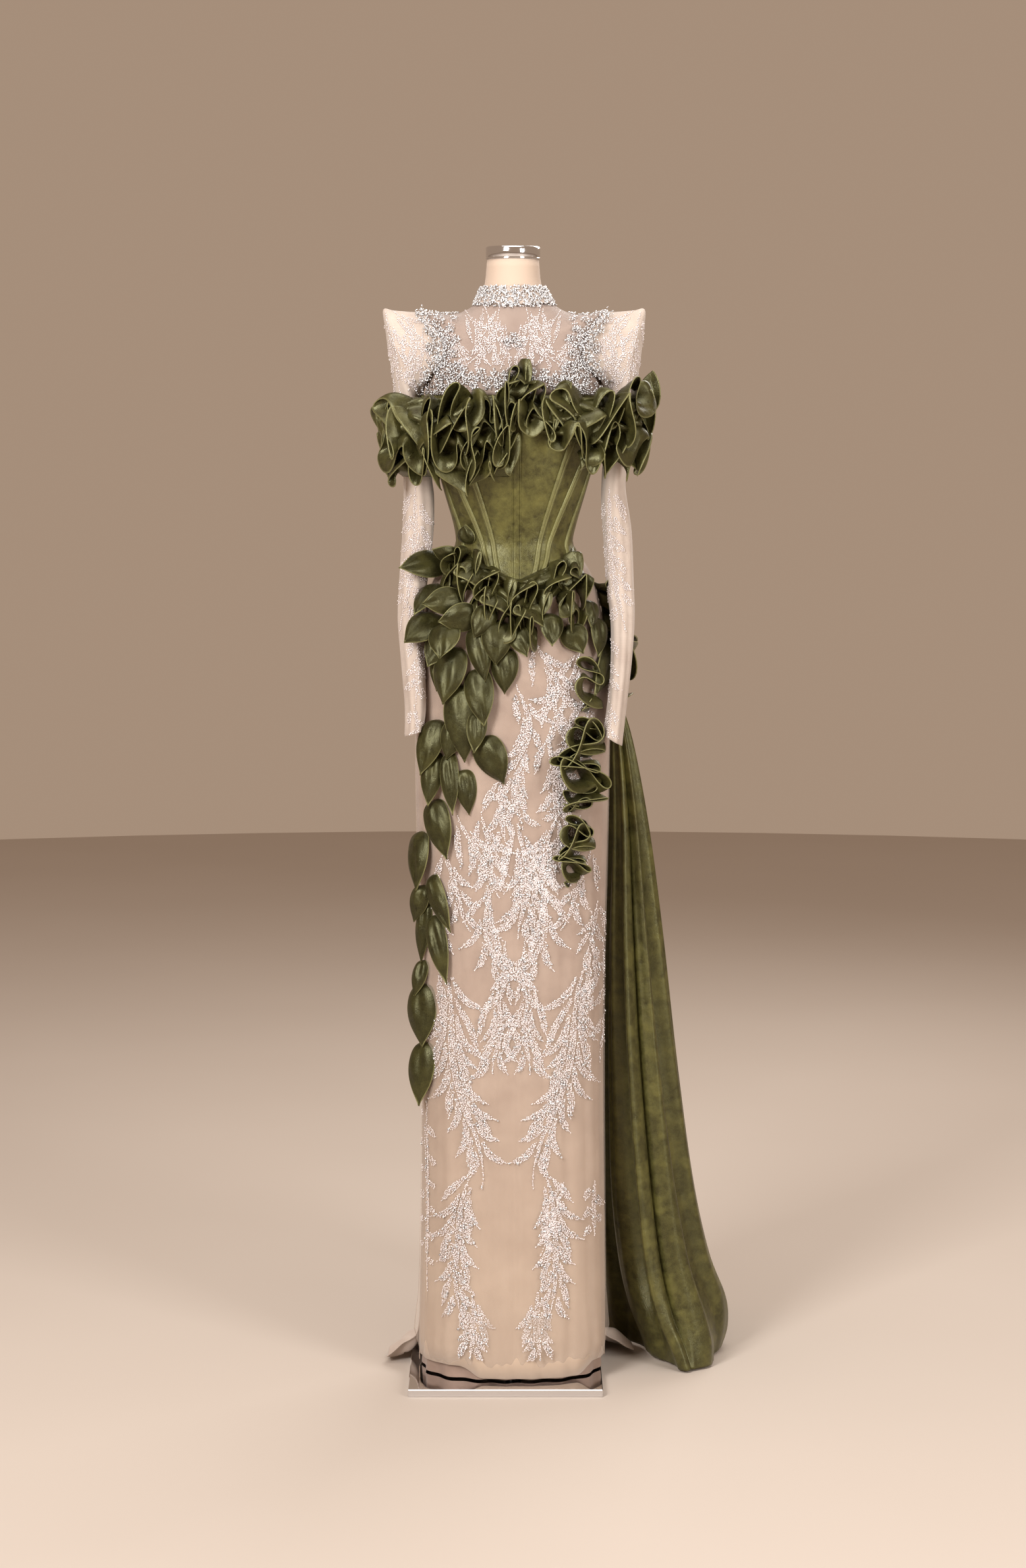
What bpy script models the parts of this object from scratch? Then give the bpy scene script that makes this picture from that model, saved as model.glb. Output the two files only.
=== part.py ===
"""Column evening gown on a limbless dress form.

High-necked net yoke and hanging net sleeves, a boned velvet corset, velvet ruffles over
the bust and hips, padded velvet leaves down one side, a narrow net skirt, a net sweep
behind the base plate and a velvet train at the other side.

Metres, +Z up. X runs to the viewer's right, the front of the gown faces -Y, and the
origin lies on the underside of the base plate, below the neck of the form.
"Right" and "left" in names are the wearer's, so the right side is at -X.
"""
from collections import namedtuple
from math import atan2, copysign, cos, pi, radians, sin

import bmesh
import bpy
from mathutils import Vector

# Driving dimensions
SEAM = 0.0003            # between neighbouring pieces
EASE = 0.0008            # between the form and the cloth on it
CORSET_WALL = 0.0022
CHANNEL_RISE = 0.0014    # boning channels stand this much above the corset
YOKE_WALL = 0.0012
SLEEVE_WALL = 0.0012
SKIRT_WALL = 0.0014
TRAIN_WALL = 0.0016
NET_WALL = 0.0012
RUFFLE_WALL = 0.0018
LEAF_WALL = 0.0026
CORSET_TOP = 1.560
CORSET_FOOT = 1.272       # the point of the corset's lower edge
CORSET_V_RISE = 0.046     # the edge is this much higher at the sides
CORSET_V_TURN = radians(60)
BUSK_TOP = 1.556
BUSK_TURN = radians(4)    # the busk strip's middle
BUSK_FLAT = radians(4)    # the edge runs level this far to each side of it
COLLAR_TOP = 1.7270
COLLAR_WALL = 0.0020
COLLAR_LIFT = 0.0022      # of its foot above the yoke's neck edge
YOKE_LIFT = 0.0005        # of the yoke above the gown's lines, over the corset's top edge
COLLAR_BOTTOM_ROW = 2    # row of BODY at the foot of the collar
SHOULDER_ROW = 5         # row of BODY at the shoulder point
UNDERARM_ROW = 8         # row of BODY at the top of the corset
HEM = 0.022
HEM_WAVE = 0.004         # the hem dips and rises this much, five times round half a turn
WAIST_SEAM = 0.0011      # between the corset and the skirt, hidden by the ruffles
FRONT_SEAM = 0.0016      # added to it over the front, where the corset has its channels
FRONT_SEAM_TURN = radians(80)
SKIRT_ROW_GROWTH = 1.7   # the skirt's rows of the grid lie closer together at the hips
PLATE_WIDTH = 0.306
PLATE_DEPTH = 0.304
PLATE_THICK = 0.012
PLATE_CENTRE_X = -0.012
POLE_RADIUS = 0.0125
FLANGE_RADIUS = 0.034
FLANGE_HEIGHT = 0.010
FORM_BOTTOM = 0.930
NECK_TOP = 1.7697
CAP_RADIUS = 0.0424
CAP_TOP = 1.790

# Rings of the cloth's inner face from the neck to the hem. A ring is level below the
# underarm and rises to the shoulder above it, so its side, front and back have their own z.
Ring = namedtuple("Ring", "half_width front back z_side z_front z_back centre_x square")
BODY = [
    Ring(0.0412, 0.0430, 0.0430, 1.7690, 1.7690, 1.7690, 0.000, 2.0),
    Ring(0.0458, 0.0480, 0.0470, 1.7275, 1.7275, 1.7275, 0.000, 2.0),
    Ring(0.0600, 0.0590, 0.0600, 1.7005, 1.6970, 1.7040, 0.002, 2.0),
    Ring(0.0880, 0.0690, 0.0750, 1.6850, 1.6730, 1.6830, 0.002, 2.2),
    Ring(0.1150, 0.0770, 0.0860, 1.6835, 1.6510, 1.6660, 0.002, 2.4),
    Ring(0.1390, 0.0840, 0.0940, 1.6850, 1.6270, 1.6450, 0.001, 2.5),
    Ring(0.1460, 0.0900, 0.1000, 1.6560, 1.6040, 1.6160, 0.001, 2.5),
    Ring(0.1455, 0.0980, 0.1030, 1.6130, 1.5840, 1.5900, 0.001, 2.4),
    Ring(0.1410, 0.1070, 0.1020, 1.5600, 1.5600, 1.5600, 0.002, 2.3),
    Ring(0.1350, 0.1170, 0.0970, 1.5050, 1.5050, 1.5050, 0.003, 2.3),
    Ring(0.1190, 0.1060, 0.0910, 1.4470, 1.4470, 1.4470, 0.003, 2.2),
    Ring(0.1070, 0.0940, 0.0830, 1.4050, 1.4050, 1.4050, 0.003, 2.2),
    Ring(0.0945, 0.0820, 0.0750, 1.3620, 1.3620, 1.3620, 0.003, 2.2),
    Ring(0.0895, 0.0770, 0.0710, 1.3330, 1.3330, 1.3330, 0.002, 2.2),
    Ring(0.0960, 0.0785, 0.0760, 1.3180, 1.3180, 1.3180, 0.002, 2.2),
    Ring(0.1090, 0.0830, 0.0860, 1.3010, 1.3010, 1.3010, 0.001, 2.2),
    Ring(0.1230, 0.0900, 0.0980, 1.2750, 1.2750, 1.2750, 0.000, 2.2),
    Ring(0.1350, 0.0960, 0.1080, 1.2350, 1.2350, 1.2350, 0.000, 2.2),
    Ring(0.1440, 0.1010, 0.1150, 1.1700, 1.1700, 1.1700, 0.000, 2.3),
    Ring(0.1490, 0.1040, 0.1180, 1.0900, 1.0900, 1.0900, 0.000, 2.4),
    Ring(0.1490, 0.1060, 0.1160, 0.9800, 0.9800, 0.9800, -0.001, 2.4),
    Ring(0.1460, 0.1060, 0.1110, 0.8400, 0.8400, 0.8400, -0.001, 2.5),
    Ring(0.1420, 0.1060, 0.1060, 0.6500, 0.6500, 0.6500, -0.001, 2.5),
    Ring(0.1410, 0.1070, 0.1060, 0.4500, 0.4500, 0.4500, 0.000, 2.5),
    Ring(0.1430, 0.1090, 0.1090, 0.2500, 0.2500, 0.2500, 0.000, 2.5),
    Ring(0.1460, 0.1110, 0.1130, 0.0900, 0.0900, 0.0900, -0.001, 2.5),
    Ring(0.1465, 0.1110, 0.1140, 0.0000, 0.0000, 0.0000, -0.002, 2.5),
]

# How much slimmer the form is than the cloth at each row of BODY, and how much lower its
# shoulders are: it touches at the neck and carries the yoke there
Slack = namedtuple("Slack", "inside below")
FORM_SLACK = [
    Slack(0.0, 0.0), Slack(0.0, 0.0), Slack(0.0, 0.0), Slack(0.0026, 0.0040),
    Slack(0.005, 0.012), Slack(0.008, 0.026), Slack(0.010, 0.022), Slack(0.008, 0.012),
    Slack(0.0045, 0.004), Slack(0.0045, 0.0), Slack(0.0045, 0.0), Slack(0.0040, 0.0),
] + [Slack(0.0060, 0.0)] * (len(BODY) - 12)

# The torso's grid: two rings to a row of BODY down to the neck's foot and one below it, and the
# rounded bottom as share of the last row's width with its z
FORM_SEGMENTS = 24
FORM_NECK_ROWS = 3
FORM_LAST_ROW = 20
FORM_ROUNDING = [(0.86, 0.972), (0.62, 0.945), (0.25, FORM_BOTTOM)]

# Boning channels: turn in degrees of each channel's centre line at the corset's bottom and
# top edge, counted from the front; they fan out between the two
Channel = namedtuple("Channel", "bottom_turn top_turn half_turn")
CHANNELS = [
    Channel(11.5, 47.0, 2.4),
    Channel(21.0, 70.0, 2.4),
    Channel(56.0, 81.0, 1.8),
]
CHANNEL_FAN = 0.7
WIDEST_COLUMN = 16.0
BUSK_X = 0.0055
BUSK_HALF_WIDTH = 0.0062
BUSK_RISE = 0.0016
GIRDLE_SQUARE = 2.8
GIRDLE_SLEEVE_ROW = 7    # the sleeve's row in the middle of the bust ruffles' height
GIRDLE_ROW_STEP = 0.060  # and the height of one row there
SEWN = 0.0010            # from a ruffle's sewn edge to the cloth it is sewn on
SKIRT_SEWN = 0.0007      # the same for a hip ruffle on the skirt
GARLAND_SEWN = 0.0002    # and for the garland
BAND_WALL = 0.0014       # velvet band that carries a bust ruffle
BAND_INSET = BAND_WALL + SEWN    # from the ruffle's sewn edge to the band's inner face
BAND_TOP = 1.556
BAND_FOOT = 1.436
BAND_SLANT = 0.070       # the left band's lower edge rises this much towards the busk
BAND_TURNS_RIGHT = (radians(-97), radians(-3))
BAND_TURNS_LEFT = (radians(9), radians(93))

ARMHOLE_CUT = radians(34)      # turn from the side line to the armhole's front edge
ARMHOLE_ROUND = 0.6            # power of the sine that rounds its upper half
YOKE_UNDERARM = radians(14)    # turn from the side line to the yoke's lower corner
ARMHOLE_OUT = 0.0011           # the sleeve starts this far outside the armhole's edge
ARMHOLE_DRIFT = 0.0020         # further out and lower by this much at the underarm
ARMHOLE_LIFT = 0.0012

# Sleeves: rings with an outer and an inner point, from just past the armhole to the cuff.
# All x are distances from the gown's centre line. Pinch narrows the outer side to a ridge.
Cuff = namedtuple("Cuff", "outer_x outer_z inner_x inner_z half_depth mid_y pinch")
RIGHT_SLEEVE = [
    Cuff(0.1640, 1.6885, 0.1500, 1.5520, 0.0490, -0.002, 0.25),
    Cuff(0.1870, 1.6905, 0.1490, 1.5400, 0.0480, -0.002, 0.55),
    Cuff(0.2010, 1.6920, 0.1450, 1.5280, 0.0470, -0.002, 0.85),
    Cuff(0.1975, 1.6640, 0.1400, 1.5150, 0.0460, -0.003, 0.60),
    Cuff(0.1930, 1.6300, 0.1370, 1.5030, 0.0460, -0.004, 0.30),
    Cuff(0.1870, 1.5930, 0.1340, 1.4900, 0.0450, -0.005, 0.05),
    Cuff(0.1800, 1.5350, 0.1300, 1.4600, 0.0430, -0.006, 0.0),
    Cuff(0.1730, 1.4700, 0.1280, 1.4300, 0.0410, -0.006, 0.0),
    Cuff(0.1690, 1.4170, 0.1250, 1.4000, 0.0390, -0.007, 0.0),
    Cuff(0.1710, 1.3500, 0.1260, 1.3450, 0.0340, -0.010, 0.0),
    Cuff(0.1760, 1.2660, 0.1350, 1.2660, 0.0300, -0.022, 0.0),
    Cuff(0.1775, 1.2120, 0.1400, 1.2120, 0.0290, -0.042, 0.0),
    Cuff(0.1720, 1.1450, 0.1390, 1.1450, 0.0280, -0.062, 0.0),
    Cuff(0.1670, 1.0790, 0.1375, 1.0790, 0.0280, -0.071, 0.0),
    Cuff(0.1675, 1.0340, 0.1420, 1.0420, 0.0270, -0.074, 0.0),
]
LEFT_SLEEVE = [
    Cuff(0.1650, 1.6885, 0.1540, 1.5520, 0.0490, -0.002, 0.25),
    Cuff(0.1890, 1.6905, 0.1540, 1.5400, 0.0480, -0.002, 0.55),
    Cuff(0.2040, 1.6920, 0.1520, 1.5280, 0.0470, -0.002, 0.85),
    Cuff(0.2030, 1.6650, 0.1500, 1.5150, 0.0460, -0.003, 0.60),
    Cuff(0.1990, 1.6300, 0.1480, 1.5030, 0.0460, -0.004, 0.30),
    Cuff(0.1940, 1.5930, 0.1450, 1.4900, 0.0450, -0.005, 0.05),
    Cuff(0.1860, 1.5350, 0.1420, 1.4600, 0.0430, -0.006, 0.0),
    Cuff(0.1790, 1.4700, 0.1405, 1.4300, 0.0410, -0.006, 0.0),
    Cuff(0.1750, 1.4170, 0.1400, 1.4000, 0.0390, -0.007, 0.0),
    Cuff(0.1840, 1.3500, 0.1430, 1.3450, 0.0340, -0.012, 0.0),
    Cuff(0.1870, 1.2660, 0.1480, 1.2660, 0.0300, -0.028, 0.0),
    Cuff(0.1880, 1.2120, 0.1540, 1.2120, 0.0290, -0.046, 0.0),
    Cuff(0.1830, 1.1450, 0.1540, 1.1450, 0.0280, -0.064, 0.0),
    Cuff(0.1750, 1.0790, 0.1480, 1.0790, 0.0280, -0.074, 0.0),
    Cuff(0.1680, 1.0200, 0.1420, 1.0360, 0.0270, -0.080, 0.0),
]

# Ruffles: the sewn edge's path as turn around the gown in degrees (0 front, + to the
# wearer's left) and z, with how far the cloth leans up, its height and the sway of its waves
Tack = namedtuple("Tack", "turn z lean height swing")
BUST_RUFFLE_RIGHT = [
    Tack(-96, 1.528, 10, 0.016, 0.004),
    Tack(-84, 1.532, 20, 0.022, 0.014),
    Tack(-66, 1.537, 30, 0.034, 0.024),
    Tack(-42, 1.540, 34, 0.040, 0.028),
    Tack(-18, 1.541, 30, 0.042, 0.024),
    Tack(-7, 1.533, 10, 0.038, 0.006),
    Tack(-5, 1.512, 4, 0.038, 0.005),
    Tack(-10, 1.499, 4, 0.042, 0.012),
    Tack(-24, 1.494, 4, 0.046, 0.027),
    Tack(-44, 1.492, 4, 0.044, 0.029),
    Tack(-66, 1.491, 4, 0.036, 0.026),
    Tack(-86, 1.492, 2, 0.022, 0.010),
    Tack(-91, 1.478, 0, 0.020, 0.004),
    Tack(-87, 1.462, -6, 0.022, 0.007),
    Tack(-72, 1.455, -14, 0.032, 0.020),
    Tack(-50, 1.452, -22, 0.038, 0.025),
    Tack(-28, 1.453, -22, 0.042, 0.023),
    Tack(-12, 1.457, -16, 0.038, 0.010),
]
BUST_RUFFLE_LEFT = [
    Tack(13, 1.566, 26, 0.028, 0.008),
    Tack(26, 1.560, 28, 0.036, 0.020),
    Tack(48, 1.552, 28, 0.038, 0.027),
    Tack(70, 1.550, 16, 0.032, 0.023),
    Tack(87, 1.552, 16, 0.022, 0.010),
    Tack(93, 1.538, 6, 0.022, 0.004),
    Tack(86, 1.522, 4, 0.024, 0.010),
    Tack(68, 1.513, 4, 0.036, 0.025),
    Tack(46, 1.515, 4, 0.042, 0.027),
    Tack(28, 1.524, 4, 0.042, 0.018),
    Tack(20, 1.516, 0, 0.036, 0.005),
    Tack(27, 1.499, -4, 0.036, 0.008),
    Tack(42, 1.484, -12, 0.040, 0.022),
    Tack(60, 1.477, -16, 0.036, 0.024),
    Tack(78, 1.476, -14, 0.028, 0.016),
    Tack(90, 1.480, -8, 0.018, 0.005),
]
BUST_RUFFLE_CENTRE = [
    Tack(-9, 1.563, 30, 0.018, 0.005),
    Tack(-6, 1.580, 24, 0.028, 0.011),
    Tack(1, 1.592, 20, 0.030, 0.014),
    Tack(9, 1.597, 20, 0.022, 0.006),
]
HIP_RUFFLE_RIGHT = [
    Tack(-66, 1.306, 10, 0.020, 0.004),
    Tack(-54, 1.312, 14, 0.034, 0.012),
    Tack(-40, 1.308, 12, 0.036, 0.013),
    Tack(-31, 1.298, 4, 0.034, 0.005),
    Tack(-38, 1.284, 2, 0.034, 0.012),
    Tack(-50, 1.284, 4, 0.032, 0.012),
    Tack(-61, 1.288, 4, 0.022, 0.005),
]
HIP_RUFFLE_MIDDLE = [
    Tack(-29, 1.280, 12, 0.030, 0.008),
    Tack(-20, 1.276, 10, 0.038, 0.015),
    Tack(-9, 1.266, 4, 0.036, 0.007),
    Tack(-10, 1.252, 0, 0.036, 0.006),
    Tack(-20, 1.251, -4, 0.038, 0.013),
    Tack(-31, 1.260, -4, 0.030, 0.008),
]
HIP_RUFFLE_CENTRE = [
    Tack(-1, 1.258, 20, 0.030, 0.008),
    Tack(10, 1.259, 18, 0.038, 0.016),
    Tack(20, 1.254, 8, 0.036, 0.005),
    Tack(20, 1.240, 4, 0.036, 0.005),
    Tack(10, 1.232, 4, 0.040, 0.016),
    Tack(-1, 1.229, 4, 0.038, 0.008),
    Tack(-4, 1.217, -6, 0.036, 0.005),
    Tack(6, 1.205, -10, 0.038, 0.014),
    Tack(18, 1.207, -8, 0.032, 0.008),
]
HIP_RUFFLE_LEFT = [
    Tack(30, 1.266, 6, 0.030, 0.006),
    Tack(31, 1.286, 14, 0.036, 0.008),
    Tack(44, 1.297, 18, 0.038, 0.015),
    Tack(57, 1.295, 12, 0.034, 0.012),
    Tack(63, 1.281, 4, 0.028, 0.004),
    Tack(56, 1.267, 0, 0.036, 0.012),
    Tack(43, 1.261, 0, 0.038, 0.013),
    Tack(36, 1.247, -4, 0.036, 0.005),
    Tack(44, 1.236, -8, 0.036, 0.012),
    Tack(56, 1.238, -8, 0.030, 0.008),
]
GARLAND_UPPER = [
    Tack(56, 1.160, 0, 0.018, 0.004),
    Tack(55.8, 1.135, 0, 0.030, 0.013),
    Tack(56, 1.105, 0, 0.030, 0.013),
    Tack(56.3, 1.078, 0, 0.020, 0.004),
]
GARLAND_BUNCH = [
    Tack(56, 1.058, 0, 0.022, 0.007),
    Tack(52, 1.028, 0, 0.040, 0.026),
    Tack(50, 0.988, 0, 0.044, 0.033),
    Tack(49, 0.950, 0, 0.042, 0.028),
    Tack(49, 0.922, 0, 0.028, 0.010),
]
GARLAND_TAIL = [
    Tack(49, 0.908, 0, 0.022, 0.006),
    Tack(48, 0.882, 0, 0.036, 0.024),
    Tack(46, 0.852, 0, 0.032, 0.017),
    Tack(45, 0.828, 0, 0.030, 0.015),
    Tack(44, 0.808, 0, 0.020, 0.005),
]
GARLAND_BACK = [
    Tack(92, 1.262, 0, 0.020, 0.005),
    Tack(98, 1.225, 0, 0.036, 0.014),
    Tack(100, 1.180, 0, 0.038, 0.016),
    Tack(101, 1.135, 0, 0.028, 0.009),
]
RUFFLE_WAVE = 18.0       # degrees of turn in one wave of a bust or hip ruffle
RUFFLE_LOOP = 0.16       # how far the free edge folds back over itself, as a share of its sway
HANGING_LOOP = 0.10
RUFFLE_SEWN = 0.05       # share of the sway left at the sewn edge
GIRDLE_CLEAR = 0.0012    # between a sleeve and the velvet band round it
GIRDLE_BACK = 0.060      # depth of the girdle behind the gown's middle
BUSK_CLEAR = 0.0006      # between the busk strip and the band in front of it

# Leaves: base and tip as x and z on the gown's front, width, how far the base stands off the
# skirt, how far the tip stands in front of the gown's middle, and how far the sewn end of the
# stem is let down further to lie on the cloth
Leaf = namedtuple("Leaf", "base_x base_z tip_x tip_z width base_out tip_front sink")
LEAVES = [
    Leaf(-0.100, 1.302, -0.177, 1.295, 0.041, 0.004, 0.085, 0.0000),
    Leaf(-0.066, 1.332, -0.074, 1.362, 0.027, 0.004, 0.068, 0.0012),
    Leaf(-0.073, 1.248, -0.141, 1.241, 0.038, 0.010, 0.104, 0.0010),
    Leaf(-0.050, 1.224, -0.116, 1.214, 0.040, 0.010, 0.112, 0.0008),
    Leaf(-0.108, 1.219, -0.168, 1.183, 0.041, 0.010, 0.112, 0.0019),
    Leaf(-0.112, 1.268, -0.153, 1.222, 0.030, 0.003, 0.092, 0.0017),
    Leaf(-0.085, 1.210, -0.112, 1.156, 0.046, 0.018, 0.122, 0.0011),
    Leaf(-0.021, 1.215, -0.027, 1.148, 0.042, 0.010, 0.128, 0.0007),
    Leaf(-0.053, 1.207, -0.043, 1.121, 0.035, 0.006, 0.122, 0.0012),
    Leaf(-0.012, 1.173, -0.013, 1.102, 0.038, 0.003, 0.116, 0.0000),
    Leaf(0.079, 1.206, 0.108, 1.163, 0.038, 0.006, 0.095, 0.0006),
    Leaf(0.122, 1.218, 0.131, 1.156, 0.032, 0.008, 0.074, 0.0019),
    Leaf(0.110, 1.244, 0.122, 1.203, 0.025, 0.010, 0.090, 0.0026),
    Leaf(-0.110, 1.172, -0.119, 1.104, 0.024, 0.003, 0.086, 0.0009),
    Leaf(-0.083, 1.173, -0.109, 1.086, 0.048, 0.006, 0.114, 0.0007),
    Leaf(-0.053, 1.141, -0.044, 1.052, 0.041, 0.003, 0.126, 0.0009),
    Leaf(-0.075, 1.115, -0.075, 0.996, 0.053, 0.002, 0.115, 0.0014),
    Leaf(-0.045, 1.035, -0.014, 0.962, 0.046, 0.003, 0.116, 0.0000),
    Leaf(-0.108, 1.059, -0.144, 0.974, 0.038, 0.006, 0.095, 0.0011),
    Leaf(-0.113, 1.009, -0.132, 0.925, 0.032, 0.003, 0.094, 0.0009),
    Leaf(-0.093, 1.010, -0.093, 0.913, 0.026, 0.004, 0.110, 0.0000),
    Leaf(-0.072, 0.984, -0.068, 0.913, 0.030, 0.002, 0.108, 0.0000),
    Leaf(-0.116, 0.935, -0.102, 0.843, 0.042, 0.005, 0.100, 0.0007),
    Leaf(-0.136, 0.882, -0.152, 0.789, 0.042, 0.005, 0.072, 0.0008),
    Leaf(-0.128, 0.797, -0.156, 0.739, 0.030, 0.009, 0.062, 0.0018),
    Leaf(-0.121, 0.816, -0.096, 0.728, 0.030, 0.004, 0.102, 0.0012),
    Leaf(-0.129, 0.771, -0.145, 0.674, 0.025, 0.001, 0.060, 0.0015),
    Leaf(-0.117, 0.753, -0.102, 0.646, 0.030, 0.003, 0.100, 0.0000),
    Leaf(-0.133, 0.640, -0.143, 0.540, 0.048, 0.004, 0.065, 0.0000),
    Leaf(-0.131, 0.547, -0.147, 0.445, 0.042, 0.003, 0.060, 0.0007),
]
LEAF_CUP = 0.13          # how far the leaf's edges fall back, as a share of its width
LEAF_BOW = 0.07          # how far its middle bows out, as a share of its length
LEAF_TO_FRONT = 0.6      # how far its face turns from straight out to the front
LEAF_TIP = 0.0008        # half the width left at base and tip
LEAF_STEM = 0.3          # share of its length in which a leaf bends down to its sewn base

# Velvet train: plan sections from the gathered top to the floor, each with its z and the
# points where the cloth crosses behind the skirt, runs forward, turns at the front fold,
# runs back outside and ends behind
Drop = namedtuple("Drop", "z start_x start_y side_x side_y fold_x fold_y outer_x outer_y end_x end_y ripple")
TRAIN = [
    Drop(1.110, 0.1425, 0.0462, 0.1467, 0.0311, 0.153, 0.0188, 0.155, 0.033, 0.151, 0.049, 0.0),
    Drop(1.030, 0.150, 0.064, 0.157, 0.044, 0.170, 0.030, 0.181, 0.044, 0.177, 0.072, 0.002),
    Drop(0.880, 0.146, 0.092, 0.160, 0.054, 0.184, 0.030, 0.206, 0.056, 0.196, 0.110, 0.004),
    Drop(0.700, 0.136, 0.120, 0.158, 0.060, 0.192, 0.024, 0.227, 0.066, 0.214, 0.150, 0.006),
    Drop(0.500, 0.124, 0.150, 0.158, 0.068, 0.204, 0.016, 0.250, 0.080, 0.234, 0.200, 0.007),
    Drop(0.300, 0.108, 0.186, 0.163, 0.080, 0.222, 0.006, 0.277, 0.098, 0.256, 0.250, 0.008),
    Drop(0.170, 0.104, 0.240, 0.176, 0.098, 0.238, -0.002, 0.306, 0.112, 0.278, 0.300, 0.008),
    Drop(0.090, 0.098, 0.286, 0.190, 0.112, 0.256, -0.010, 0.338, 0.128, 0.300, 0.350, 0.007),
    Drop(0.040, 0.094, 0.326, 0.202, 0.122, 0.274, -0.016, 0.346, 0.136, 0.310, 0.390, 0.005),
    Drop(0.004, 0.092, 0.350, 0.210, 0.126, 0.284, -0.020, 0.340, 0.140, 0.306, 0.420, 0.003),
]
Plan = namedtuple("Plan", "x y")
TRAIN_RIPPLES = 7
TRAIN_BROAD_FOLDS = 3
TRAIN_STEP = 0.01        # share of its width over which the cloth's direction is taken

# Net sweep behind the plate: run outwards from the skirt, z, and the height of its ripples
Sweep = namedtuple("Sweep", "run z ripple")
NET_SWEEP = [
    Sweep(0.0000, 0.300, 0.0),
    Sweep(0.0015, 0.180, 0.001),
    Sweep(0.0070, 0.080, 0.003),
    Sweep(0.0180, 0.040, 0.006),
    Sweep(0.0450, 0.022, 0.010),
    Sweep(0.0850, 0.012, 0.012),
    Sweep(0.1250, 0.005, 0.009),
    Sweep(0.1550, 0.003, 0.005),
]
NET_COLUMN = 5.625       # degrees of turn in a column, half of one of the skirt's
NET_START = 112.5
NET_COLUMNS = 26
NET_RIPPLES = 9
NET_SIDE = 0.66          # share of the run that is lost towards the sides
NET_CLEAR = 0.0010       # between the skirt and the net over it
NET_ABOVE_HEM = 0.010    # the net takes the skirt's line down to here
PLATE_CLEAR = 0.0030     # the net passes this far above the plate
PLATE_MARGIN = 0.012

# Colours, linear, and surface values
Finish = namedtuple("Finish", "red green blue roughness metallic")
FINISHES = {
    "velvet": Finish(0.085, 0.095, 0.022, 0.75, 0.0),
    "velvet_leaf": Finish(0.070, 0.080, 0.020, 0.75, 0.0),
    "net": Finish(0.66, 0.47, 0.34, 0.80, 0.0),
    "beaded_net": Finish(0.74, 0.58, 0.48, 0.60, 0.0),
    "crystal": Finish(0.72, 0.72, 0.74, 0.25, 0.4),
    "linen": Finish(0.78, 0.66, 0.52, 0.90, 0.0),
    "chrome": Finish(0.70, 0.70, 0.72, 0.12, 1.0),
    "steel": Finish(0.55, 0.55, 0.57, 0.10, 1.0),
}


def material(name):
    """The named material, made once."""
    found = bpy.data.materials.get(name)
    if found:
        return found
    finish = FINISHES[name]
    made = bpy.data.materials.new(name)
    made.use_nodes = True
    shader = made.node_tree.nodes["Principled BSDF"]
    shader.inputs["Base Color"].default_value = (finish.red, finish.green, finish.blue, 1.0)
    shader.inputs["Roughness"].default_value = finish.roughness
    shader.inputs["Metallic"].default_value = finish.metallic
    return made


def add_object(name, mesh, finish, collection, frame):
    """An object of the mesh, shaded smooth, in the gown's collection under its empty."""
    part = bpy.data.objects.new(name, mesh)
    collection.objects.link(part)
    part.parent = frame
    mesh.materials.append(material(finish))
    mesh.shade_smooth()
    return part


def tidy_object(part, name, finish, collection, frame):
    """Names an object made by an operator and moves it to the gown's collection."""
    for old in list(part.users_collection):
        old.objects.unlink(part)
    collection.objects.link(part)
    part.name = name
    part.data.name = name
    part.parent = frame
    part.data.materials.append(material(finish))
    return part


def blend(rows, position):
    """The row at a running position in a table, on a smooth curve through its rows."""
    last = len(rows) - 1
    position = min(max(position, 0.0), last - 1e-9)
    index = int(position)
    t = position - index
    before = rows[max(index - 1, 0)]
    start, stop = rows[index], rows[index + 1]
    after = rows[min(index + 2, last)]
    values = []
    for a, b, c, d in zip(before, start, stop, after):
        values.append(b + 0.5 * t * (c - a + t * (2 * a - 5 * b + 4 * c - d + t * (3 * (b - c) + d - a))))
    return type(start)(*values)


def section(half_width, depth, square, turn):
    """Point of a squarish oval section at a turn from the front, as x and y."""
    across, along = abs(sin(turn)) / half_width, abs(cos(turn)) / depth
    reach = (across ** square + along ** square) ** (-1.0 / square)
    return reach * sin(turn), -reach * cos(turn)


def section_out(half_width, depth, square, turn):
    """Level direction out of such a section."""
    x, y = section(half_width, depth, square, turn)
    across = copysign(abs(x / half_width) ** (square - 1), x) / half_width
    along = copysign(abs(y / depth) ** (square - 1), y) / depth
    return Vector((across, along, 0.0)).normalized()


def body_point(row, turn, out=0.0):
    """Point of the gown's body at a running row of BODY and a turn in radians."""
    ring = blend(BODY, row)
    facing = cos(turn) > 0
    x, y = section(ring.half_width + out, (ring.front if facing else ring.back) + out,
                   ring.square, turn)
    rise = max(0.0, 1.0 - abs(row - 3.5) / 3.5)
    z_mid = ring.z_front if facing else ring.z_back
    z = z_mid + (ring.z_side - z_mid) * sin(turn) ** 2
    return Vector((ring.centre_x + x, y, z + out * rise))


def row_at(z, first=UNDERARM_ROW):
    """Running row of BODY, from the first one on, whose front lies at a height."""
    low, high = float(first), len(BODY) - 1.0
    for _ in range(30):
        middle = (low + high) / 2
        if blend(BODY, middle).z_front > z:
            low = middle
        else:
            high = middle
    return low


def turn_at(x, row):
    """Turn, on the front, of the point of a body row with the given x."""
    ring = blend(BODY, row)
    share = min(abs(x - ring.centre_x) / ring.half_width, 1.0)
    depth = ring.front * (1.0 - share ** ring.square) ** (1.0 / ring.square)
    return atan2(x - ring.centre_x, depth)


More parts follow.
